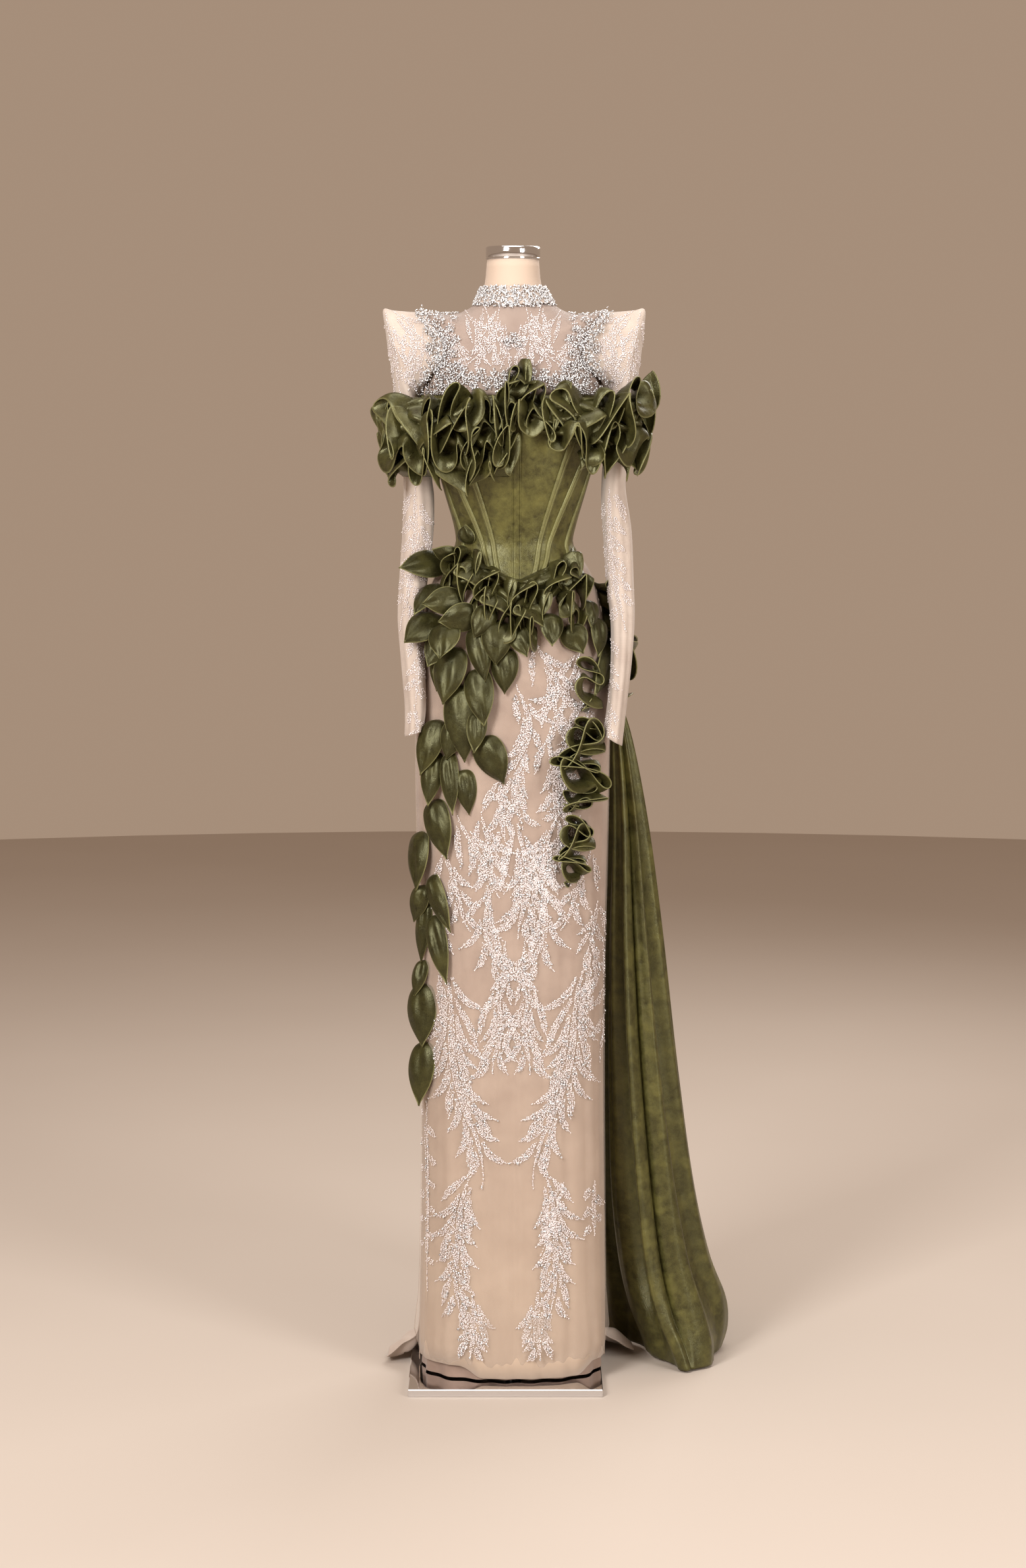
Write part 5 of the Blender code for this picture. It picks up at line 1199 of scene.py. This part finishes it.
def front_place(x, z):
    """Body row and turn of the point on the gown's front that has this x and height."""
    low, high = np.full(len(x), float(COLLAR_ROW)), np.full(len(x), len(BODY) - 1.0)
    for _ in range(20):
        row = (low + high) / 2
        above = body_point(row, turn_at(x, row))[:, 2] > z
        low, high = np.where(above, row, low), np.where(above, high, row)
    return low, turn_at(x, low)


def sprig_line(x, z, heading, bend, sway, length):
    """Points along a stem or leaf as x and z, and its heading in degrees at each of them."""
    share = np.linspace(0.0, 1.0, 60)
    headings = heading + bend * share + sway * np.sin(2 * pi * share)
    steps = np.stack([np.sin(np.radians(headings)), -np.cos(np.radians(headings))], -1)
    path = (x, z) + length * np.cumsum(steps, axis=0) / len(share)
    return path, headings


def sprig_strokes(sprig):
    """Width and path of a sprig's stem, and of each leaf that branches from it."""
    path, headings = sprig_line(*sprig[:6])
    strokes = [(0.9 * sprig.width, path)]
    for number in range(sprig.leaves):
        share = 0.03 + 0.82 * (number + 0.5) / sprig.leaves
        here = int(share * len(path))
        side = 1 if number % 2 else -1
        ahead = radians(headings[here])
        start = path[here] + side * 0.7 * sprig.width * np.array([cos(ahead), sin(ahead)])
        curl, sway = (52, -7) if number % 3 else (24, 13)
        reach = sprig.reach * (1.15 - 0.6 * share) * (1.0 + 0.15 * sin(2.4 * number + sprig.x))
        leaf, _ = sprig_line(*start, headings[here] + side * 5, side * curl, side * sway, reach)
        strokes.append((1.05 * sprig.width, leaf))
    return strokes


def fill_stroke(width, path, pitch, random):
    """Bead places that fill one stroke: slim where it starts, full in its middle and pointed."""
    run = np.concatenate([[0.0], np.cumsum(np.linalg.norm(np.diff(path, axis=0), axis=1))])
    steps = np.arange(0.5 * pitch, run[-1], pitch)
    centre = np.stack([np.interp(steps, run, path[:, axis]) for axis in (0, 1)], -1)
    heading = unit(np.stack([np.interp(steps, run, np.gradient(path[:, axis])) for axis in (0, 1)], -1))
    share = steps / run[-1]
    half = width / 2 * (0.35 + 0.65 * ease(0.0, 0.40, share)) * (1.0 - 0.85 * ease(0.62, 1.0, share))
    rows = np.arange(-8, 9) * pitch
    across = rows[None, :] + random.uniform(-0.3, 0.3, (len(steps), len(rows))) * pitch
    kept = np.abs(across) <= np.maximum(half, 0.4 * pitch)[:, None]
    side = np.stack([-heading[:, 1], heading[:, 0]], -1)
    slip = random.uniform(-0.35, 0.35, across.shape) * pitch
    placed = centre[:, None] + side[:, None] * across[..., None] + heading[:, None] * slip[..., None]
    return placed[kept]


def fill_sprigs(sprigs, pitch, random, middle=None):
    """Bead places of a table of sprigs in metres, sewn twice about a middle line if one is given."""
    spots = []
    for sprig in sprigs:
        for width, path in sprig_strokes(sprig):
            for side in (1, -1) if middle else (1,):
                filled = fill_stroke(0.001 * width, 0.001 * path, pitch, random)
                filled[:, 0] *= side
                if middle:
                    filled[:, 0] += np.interp(filled[:, 1], *zip(*middle))
                spots.append(filled)
    spots = np.concatenate(spots)
    _, first = np.unique(np.round(spots / (0.95 * pitch)), axis=0, return_index=True)
    return spots[np.sort(first)]


def bead_sizes(size, number, random, largest=1.2):
    """Sizes of so many beads, each a little smaller or larger than the given one."""
    return np.array(size) * random.uniform(0.8, largest, (number, 1))


def bead_frames(outs, tilt, random):
    """Three directions for each bead, its third one near the way out of the cloth."""
    out = unit(outs + tilt * random.normal(size=outs.shape))
    first = unit(np.cross(out, random.normal(size=outs.shape)))
    return np.stack([first, np.cross(out, first), out], 1)


def make_skirt_beads():
    """Scrolling sprigs of seed beads over the skirt's front."""
    random = np.random.default_rng(7)
    spots = np.concatenate([fill_sprigs(SKIRT_SINGLES, SEED_PITCH, random),
                            fill_sprigs(SKIRT_PAIRS, SEED_PITCH, random, SKIRT_MIDDLE)])
    row, turn = front_place(spots[:, 0], spots[:, 1])
    kept = np.abs(turn) < BEADED_SKIRT_TURN
    row, turn, z = row[kept], turn[kept], spots[kept, 1]
    top = corset_foot(turn) - FRONT_SEAM
    lift = tulle_lift(turn / pi + 0.5, (top - z) / (top - HEM)) + SKIRT_LIFT
    outs = outward(row, turn)
    centres = body_point(row, turn) + outs * lift[:, None]
    sizes = bead_sizes(SKIRT_SEED, len(z), random)
    frames = bead_frames(outs, 0.35, random)
    stones = random.uniform(size=len(z)) < SKIRT_STONE_SHARE
    sew_beads("skirt_stones", STONE, centres[stones] + outs[stones] * 0.001, frames[stones],
              sizes[stones] * 1.5, crystal)
    for name, here in (("skirt_beads_upper", z >= SKIRT_BEADS_SPLIT),
                       ("skirt_beads_lower", z < SKIRT_BEADS_SPLIT)):
        sew_beads(name, SEED, centres[here], frames[here], sizes[here], seed_glass)


def make_armhole_piping():
    """A corded edge of net that closes the seam where each sleeve is set in."""
    for name, side in (("armhole_piping_right", -1), ("armhole_piping_left", 1)):
        def cord(u, v, side=side):
            around, turn = 2 * pi * v, 2 * pi * u
            here = armhole_point(around, side)
            ahead = unit(armhole_point(around + 0.01, side) - armhole_point(around - 0.01, side))
            out = unit(np.cross(ahead, np.cross(here * (1.0, 1.0, 0.0), ahead)))
            across = np.cross(ahead, out)
            return here + PIPING_RADIUS * (out * np.cos(turn)[:, None] + across * np.sin(turn)[:, None])

        piece = cloth(name, cord, 12, 160, nude_net, closed=True, size=(0.02, 0.4))


def on_cloth(pieces, spots, facing, lift):
    """Places on the named pieces at these x and z, seen from the front or back, and the way out."""
    points, faces = [], []
    for name in pieces:
        mesh = bpy.data.objects[name].data
        start = len(points)
        points.extend(vertex.co.copy() for vertex in mesh.vertices)
        faces.extend([start + corner for corner in face.vertices] for face in mesh.polygons)
    tree = BVHTree.FromPolygons(points, faces)
    places, outs = [], []
    for x, z in spots:
        place, normal, _, _ = tree.ray_cast((x, -2.0 * facing, z), (0.0, facing, 0.0), 2.0)
        if place is not None:
            normal = normal if normal.y * facing < 0 else -normal
            places.append(place + normal * lift)
            outs.append(normal)
    return np.array(places), np.array(outs)


def bead_yoke(random):
    """Sprigs of seed beads and stones over the front and back of the yoke and the sleeves."""
    pieces = ["yoke_net_front", "yoke_net_back", "sleeve_net_right", "sleeve_net_left", "collar_band",
              "armhole_piping_right", "armhole_piping_left"]
    seeds = fill_sprigs(SEED_PAIRS, SEED_PITCH, random, YOKE_MIDDLE)
    stones = fill_sprigs(STONE_PAIRS, STONE_PITCH, random, YOKE_MIDDLE)
    for side, facing in (("front", 1), ("back", -1)):
        places, outs = on_cloth(pieces, seeds, facing, YOKE_WALL + SEED_LIFT)
        sizes = bead_sizes(YOKE_SEED, len(places), random)
        sew_beads(f"yoke_seeds_{side}", SEED, places, bead_frames(outs, 0.4, random), sizes,
                  seed_glass)
        places, outs = on_cloth(pieces, stones, facing, YOKE_WALL + STONE_LIFT)
        places = places + outs * random.uniform(0.0, 0.0022, (len(places), 1))
        sizes = bead_sizes(YOKE_STONE, len(places), random, 1.15)
        sizes[random.uniform(size=len(sizes)) < 0.3, 0] *= 0.55
        sew_beads(f"yoke_stones_{side}", STONE, places, bead_frames(outs, 0.55, random), sizes,
                  crystal)


def bead_armholes(random):
    """Stones heaped on the front of each armhole's piping."""
    for name, side in (("armhole_stones_right", -1), ("armhole_stones_left", 1)):
        around = random.uniform(0.06 * pi, 0.80 * pi, ARMHOLE_STONES)
        here = armhole_point(around, side)
        ones = np.ones(ARMHOLE_STONES)
        outs = unit(np.stack([0.5 * side * ones, -ones, 0.4 * np.cos(around)], -1))
        places = here + 0.0062 * outs + 0.0045 * random.normal(size=here.shape) * (1.0, 0.3, 1.0)
        sizes = bead_sizes(ARMHOLE_STONE, ARMHOLE_STONES, random, 1.15)
        sew_beads(name, STONE, places, bead_frames(outs, 0.5, random), sizes, crystal)


def bead_collar(random):
    """Stones close together over the whole collar."""
    turn = random.uniform(0.0, 2 * pi, COLLAR_STONES)
    share = random.uniform(-0.05, 1.05, COLLAR_STONES)
    outs = outward(np.full(COLLAR_STONES, 1.5), turn)
    foot, top = body_point(COLLAR_ROW, turn), body_point(1.0, turn)
    lift = 0.0034 + random.uniform(0.0, 0.002, COLLAR_STONES)
    places = foot + (top - foot) * share[:, None] + outs * lift[:, None]
    sizes = bead_sizes(COLLAR_STONE, COLLAR_STONES, random, 1.15)
    sew_beads("collar_stones", STONE, places, bead_frames(outs, 0.5, random), sizes,
              crystal)


def make_yoke_beads():
    """Seed beads and stones over the yoke, the sleeves, the armholes and the collar."""
    random = np.random.default_rng(11)
    bead_yoke(random)
    bead_armholes(random)
    bead_collar(random)


# Velvet ruffles
GIRDLE_SQUARE, GIRDLE_BACK = 2.8, 0.060
BAND_TOP, BAND_FOOT = 1.556, 1.436
CURL_STEPS = 12

# The sleeve ring low down in the bust ruffles, and about how far apart the rings lie there
GIRDLE_RING, GIRDLE_RING_PITCH = 7, 0.060


def girdle(turn, z):
    """Where the bust ruffles are sewn: round the corset and the outside of both sleeves."""
    ring = blend(BODY, row_at(np.minimum(z, CORSET_TOP)))
    side = np.zeros_like(z)
    for table, here in ((RIGHT_SLEEVE, turn < 0), (LEFT_SLEEVE, turn >= 0)):
        below = (table[GIRDLE_RING].outer_z - z) / GIRDLE_RING_PITCH
        sleeve = blend(table, GIRDLE_RING + below)
        side = np.where(here, sleeve.outer_x + SLEEVE_WALL + 0.0012 + BAND_INSET, side)
    front = ring.front + CORSET_WALL + BUSK_RISE + 0.0006 + BAND_INSET
    depth = np.where(np.cos(turn) > 0, front, GIRDLE_BACK)
    x, y = section(side, depth, GIRDLE_SQUARE, turn)
    return np.stack([x, y, z], -1), section_out(side, depth, GIRDLE_SQUARE, turn)


def hip_line(turn, z):
    """Where the hip ruffles are sewn: on the corset and the skirt."""
    row = row_at(z)
    on_corset = z > corset_foot(turn) - WAIST_SEAM
    wall = np.where(on_corset, CORSET_WALL + CHANNEL_RISE + 0.0010, SKIRT_WALL + 0.0007)
    return body_point(row, turn, wall), outward(row, turn)


def garland_line(turn, z):
    """Where the garland's strips are sewn: on the skirt."""
    row = row_at(z)
    return body_point(row, turn, SKIRT_WALL + 0.0002), outward(row, turn)


def yoke_line(turn, z):
    """Where the middle bust ruffle is sewn: on the yoke just above the corset."""
    row = row_at(z, COLLAR_ROW)
    return body_point(row, turn, YOKE_WALL + 0.0015), outward(row, turn)


def swell(level, phase, *waves):
    """A level with uneven waves on it, each of a size, a rate and a start."""
    for size, rate, start in waves:
        level = level + size * np.sin(rate * phase + start)
    return level


def frill_point(frill, u, v):
    """Point of a frill: u along the strip, sewn on in tight bends, v to its drooping free edge."""
    tack = blend(frill.tacks, u * (len(frill.tacks) - 1))
    hanging = frill.carrier is garland_line
    phase = 2 * pi * frill.waves * u
    phase = swell(phase, phase, (0.6, 0.27, 0.5), (0.5, 0.61, 2.2))
    uneven = swell(1.0, phase, (0.25, 0.37, 1.3), (0.20, 0.83, 0.4))
    bend = np.sin(phase)
    v = 1.0 - (1.0 - v) ** 1.25
    turn = np.radians(tack.turn)
    here, out = frill.carrier(turn, tack.z + 0.15 * tack.swing * np.sin(0.21 * phase))
    up = np.broadcast_to([0.0, 0.0, 1.0], out.shape)
    around = np.cross(up, out)
    if hanging:
        up, around = around, -up
    slant = swell(0.0, phase, (0.75, 0.23, 0.4), (0.35, 0.57, 1.1))
    aside = up * np.cos(slant)[:, None] + around * np.sin(slant)[:, None]
    over = around * np.cos(slant)[:, None] - up * np.sin(slant)[:, None]
    slip = -0.24 * tack.swing * np.sin(2 * phase) * (1.0 + 0.6 * np.sin(0.61 * phase + 2.0))
    point = here + aside * (tack.swing * uneven * bend)[:, None] + over * slip[:, None]
    height = tack.height * swell(1.0, phase, (0.16, 0.71, 0.0), (0.12, 0.39, 1.0))
    lean = swell(np.radians(tack.lean) + frill.flare * bend, phase, (0.25, 0.53, 1.7))
    droop = 0.9 if hanging else 1.25
    fall = droop * swell(1.0, phase, (0.5, 0.47, 2.6), (0.35, 1.31, 0.0))
    skew = swell(0.0, phase, (0.45, 0.17, 0.6), (0.30, 0.43, 2.1))
    curl = 0.9 * np.sin(0.5 * phase + 1.2 + np.sin(0.33 * phase)) + 0.5 * np.sin(phase + 0.8)
    for step in range(CURL_STEPS):
        share = v * (step + 0.5) / CURL_STEPS
        rise = lean - fall * share ** 1.4
        turned_by = skew + curl * share ** 1.6
        point = point + (height * v / CURL_STEPS)[:, None] * (
            out * (np.cos(rise) * np.cos(turned_by))[:, None] + up * np.sin(rise)[:, None]
            + around * (np.cos(rise) * np.sin(turned_by))[:, None])
    crease = 0.0009 * np.sin(3.1 * phase + 6 * v) * np.sin(2.3 * pi * v)
    return point + over * crease[:, None]


# Frills: where they are sewn, how many waves and columns they have, how far the waves lean by
# turns, and the strip that they are gathered from
Frill = namedtuple("Frill", "name node tacks carrier waves columns flare cut")
FRILLS = [
    Frill("bust_frill_right", "bust_ruffle_right", BUST_FRILL_RIGHT, girdle, 38, 1000, 0.45, (3.4, 0.046)),
    Frill("bust_frill_left", "bust_ruffle_left", BUST_FRILL_LEFT, girdle, 32, 840, 0.45, (2.9, 0.044)),
    Frill("bust_frill_centre", "bust_ruffle_centre", BUST_FRILL_CENTRE, yoke_line, 3, 120, 0.45,
          (0.16, 0.034)),
    Frill("hip_frill_right", "hip_ruffle_right", HIP_FRILL_RIGHT, hip_line, 7, 220, 0.4, (0.45, 0.034)),
    Frill("hip_frill_middle", "hip_ruffle_middle", HIP_FRILL_MIDDLE, hip_line, 6, 190, 0.4, (0.40, 0.036)),
    Frill("hip_frill_centre", "hip_ruffle_centre", HIP_FRILL_CENTRE, hip_line, 8, 250, 0.4, (0.50, 0.036)),
    Frill("hip_frill_left", "hip_ruffle_left", HIP_FRILL_LEFT, hip_line, 9, 280, 0.4, (0.56, 0.036)),
    Frill("garland_frill_upper", "garland_upper", GARLAND_UPPER, garland_line, 3, 130, 0.4, (0.22, 0.034)),
    Frill("garland_frill_bunch", "garland_bunch", GARLAND_BUNCH, garland_line, 9, 320, 0.4, (1.00, 0.040)),
    Frill("garland_frill_tail", "garland_tail", GARLAND_TAIL, garland_line, 7, 230, 0.4, (0.46, 0.034)),
    Frill("garland_frill_back", "garland_back", GARLAND_BACK, garland_line, 8, 240, 0.4, (0.62, 0.046)),
]


def make_bands():
    """The crumpled velvet bands under the bust ruffles, and the fold under the hip ruffles."""
    for name, node, start, stop, slant in (
            ("band_velvet_right", "bust_band_right", radians(-97), radians(-3), 0.0),
            ("band_velvet_left", "bust_band_left", radians(9), radians(93), 0.070)):
        def band(u, v, start=start, stop=stop, slant=slant):
            turn = start + (stop - start) * u
            foot = BAND_FOOT + slant * np.maximum(0.0, np.cos(turn))
            point, out = girdle(turn, foot + (BAND_TOP - foot) * v)
            across, down = 26 * u, 11 * v
            fold = np.sin(across + 1.6 * np.sin(down + 0.4 * across) + down)
            fold = fold + 0.6 * np.sin(0.7 * across - 1.7 * down + 1.4 * np.sin(0.6 * across + 1.0))
            crumple = 0.009 * (1.3 + fold) * np.minimum(1.0, 5 * (np.sin(pi * u) * np.sin(pi * v)))
            return point + out * (crumple - BAND_INSET)[:, None]

        piece = cloth(name, band, 96, 50, velvet, [node], wall=0.0014, size=(0.5, 0.2))

    def hip_fold(u, v):
        turn = radians(-66) + radians(134) * u
        top = corset_foot(turn) + 0.006
        foot = 1.262 - 0.050 * np.exp(-((turn - radians(8)) / radians(22)) ** 2)
        point, out = hip_line(turn, top + (foot - top) * v)
        across, down = 21 * u, 6 * v
        fold = np.sin(across + 1.5 * np.sin(down + 0.5 * across) + down)
        fold = fold + 0.6 * np.sin(0.7 * across - 1.9 * down + 1.0)
        crumple = 0.006 * (1.4 + fold) * np.minimum(1.0, 5 * np.sin(pi * u) * np.sin(pi * v))
        return point + out * (crumple + 0.0015)[:, None]

    piece = cloth("hip_fold_band", hip_fold, 96, 24, velvet, wall=0.0012,
                  size=(0.34, 0.08))


def make_frills():
    """All the standing and hanging velvet frills, with a highlight painted along their free edges."""
    for frill in FRILLS:
        def strip(u, v, frill=frill):
            return frill_point(frill, u, v)

        # Painted highlight along the strip's free edge.
        def free_edge_highlight(u, v):
            return ease(0.93, 1.0, v)

        piece = cloth(frill.name, strip, frill.columns, 9, velvet, [frill.node],
                      wall=0.0013, offset=0.0, size=frill.cut, rim=free_edge_highlight)


# Leaves
LEAF_COLUMNS, LEAF_ROWS = 18, 24
LEAF_FULLNESS = 0.57
STEM_SHARE = 0.13
FRONT_PAD, BACK_PAD = 0.0030, 0.0012
RIB_DEPTH, RIB_WIDTH = 0.0020, 0.0030
STITCH_DEPTH, STITCH_INSET, STITCH_WIDTH = 0.0009, 0.0024, 0.0007


def leaf_breadth(v):
    """Share of a leaf's full width from its base (0) to its tip (1)."""
    return np.sin(pi * (0.02 + 0.968 * v) ** 0.82) ** (0.85 - 0.65 * v + 1.0 * v * v)


def leaf_surface(row):
    """A function that gives the points of a leaf's front (1) or back (-1)."""
    level = row_at(row.base_z)
    turn = turn_at(row.base_x, level)
    base = body_point(level, turn, SKIRT_WALL + LEAF_WALL + row.base_out)
    tip = np.array([row.tip_x, -row.tip_front, row.tip_z])
    base = base + STEM_SHARE * (base - tip)
    along = tip - base
    length = np.linalg.norm(along)
    away = outward(level, turn)
    across = unit(np.cross(along, away + np.array([0.0, -0.6, 0.0])))
    out = unit(np.cross(across, along))
    on_corset = row.base_z > corset_foot(turn) - WAIST_SEAM
    wall = CORSET_WALL + CHANNEL_RISE if on_corset else SKIRT_WALL
    stem = row.width * leaf_breadth(0.0) * (abs(across @ away) / 2 + STEM_SHARE * (out @ away))
    seat = body_point(level, turn, wall + LEAF_WALL / 2 + 0.0003 + stem - row.sink)
    drop = seat - base
    seed = 900 * row.base_x + 700 * row.base_z

    def surface(u, v, face):
        breadth = leaf_breadth(v)
        half = np.maximum(row.width * LEAF_FULLNESS * breadth, 0.0008)
        side = 2 * u - 1
        bow = 0.07 * length * np.sin(pi * v)
        fall = 0.13 * row.width * breadth * side * side
        settle = np.maximum(0.0, 1.0 - v / 0.3) ** 2
        pad = FRONT_PAD if face > 0 else BACK_PAD
        pad = pad * (1 - np.abs(side) ** 3) ** 0.5 * np.sqrt(np.clip(breadth, 0, 1))
        rib = RIB_DEPTH * np.exp(-np.abs(side * half / RIB_WIDTH) ** 1.3)
        rib = rib * ease(0.10, 0.35, v) * (1 - ease(0.7, 1.0, v))
        inset = (1 - np.abs(side)) * half - STITCH_INSET
        stitch = STITCH_DEPTH * np.exp(-(inset / STITCH_WIDTH) ** 2) * (face > 0)
        wrinkle = 0.0012 * np.sin(5 * side + seed + 9 * v) * np.sin(pi * v) * (1 - side * side)
        twist = np.sin(seed) * side * np.sin(pi * v) + np.sin(2 * seed) * side * side * v
        twist = 0.10 * row.width * twist
        height = bow - fall + face * pad + face * 0.0003 - rib - stitch + wrinkle + twist
        return (base + drop * settle[:, None] + along * v[:, None] + across * (half * side)[:, None]
                + out * height[:, None])

    return surface


def make_leaf(name, row, replaces=()):
    """One padded velvet leaf, sewn on at its stem, with its rim and midrib stitched down and a highlight
    painted along its rim.
    """
    surface = leaf_surface(row)
    made = bmesh.new()
    for face in (1, -1):
        part = bmesh.new()
        bmesh.ops.create_grid(part, x_segments=LEAF_COLUMNS, y_segments=LEAF_ROWS, size=0.5)
        flat = np.array([vertex.co for vertex in part.verts])[:, :2] + 0.5
        placed = surface(np.sin((flat[:, 0] - 0.5) * pi) / 2 + 0.5, flat[:, 1], face)
        if face > 0:
            on_rim = ((flat <= 0) | (flat >= 1)).any(1)
            rim_points = placed[on_rim]
        placed[on_rim] = rim_points
        for vertex, point in zip(part.verts, placed):
            vertex.co = point
        mesh = bpy.data.meshes.new("leaf_side")
        part.to_mesh(mesh)
        part.free()
        made.from_mesh(mesh)
        bpy.data.meshes.remove(mesh)
    bmesh.ops.remove_doubles(made, verts=made.verts, dist=MERGE)
    bmesh.ops.recalc_face_normals(made, faces=made.faces)
    mesh = bpy.data.meshes.new(name)
    made.to_mesh(mesh)
    made.free()
    points = np.array([vertex.co for vertex in mesh.vertices])
    from_rim = np.min([np.linalg.norm(points - point, axis=1) for point in rim_points], axis=0)
    # The finish paints a highlight on points within about 2 mm of the rim.
    mark_rim_highlight(mesh, 1.0 - ease(0.0008, 0.0020, from_rim))
    mesh.shade_smooth()
    piece = dress(bpy.data.objects.new(name, mesh), leaf_velvet, replaces)


def make_leaves():
    """The padded velvet leaves, numbered from the waist down, and small ones between them."""
    for number, row in enumerate(LEAVES, start=1):
        make_leaf(f"velvet_leaf_{number:02d}", row, [f"leaf_{number:02d}"])
    for number, row in enumerate(SMALL_LEAVES, start=1):
        make_leaf(f"small_leaf_{number}", row)


make_studio()
make_form()
make_yoke()
make_sleeves()
make_corset()
make_skirt()
make_skirt_beads()
make_armhole_piping()
make_yoke_beads()
make_trains()
make_bands()
make_frills()
make_leaves()
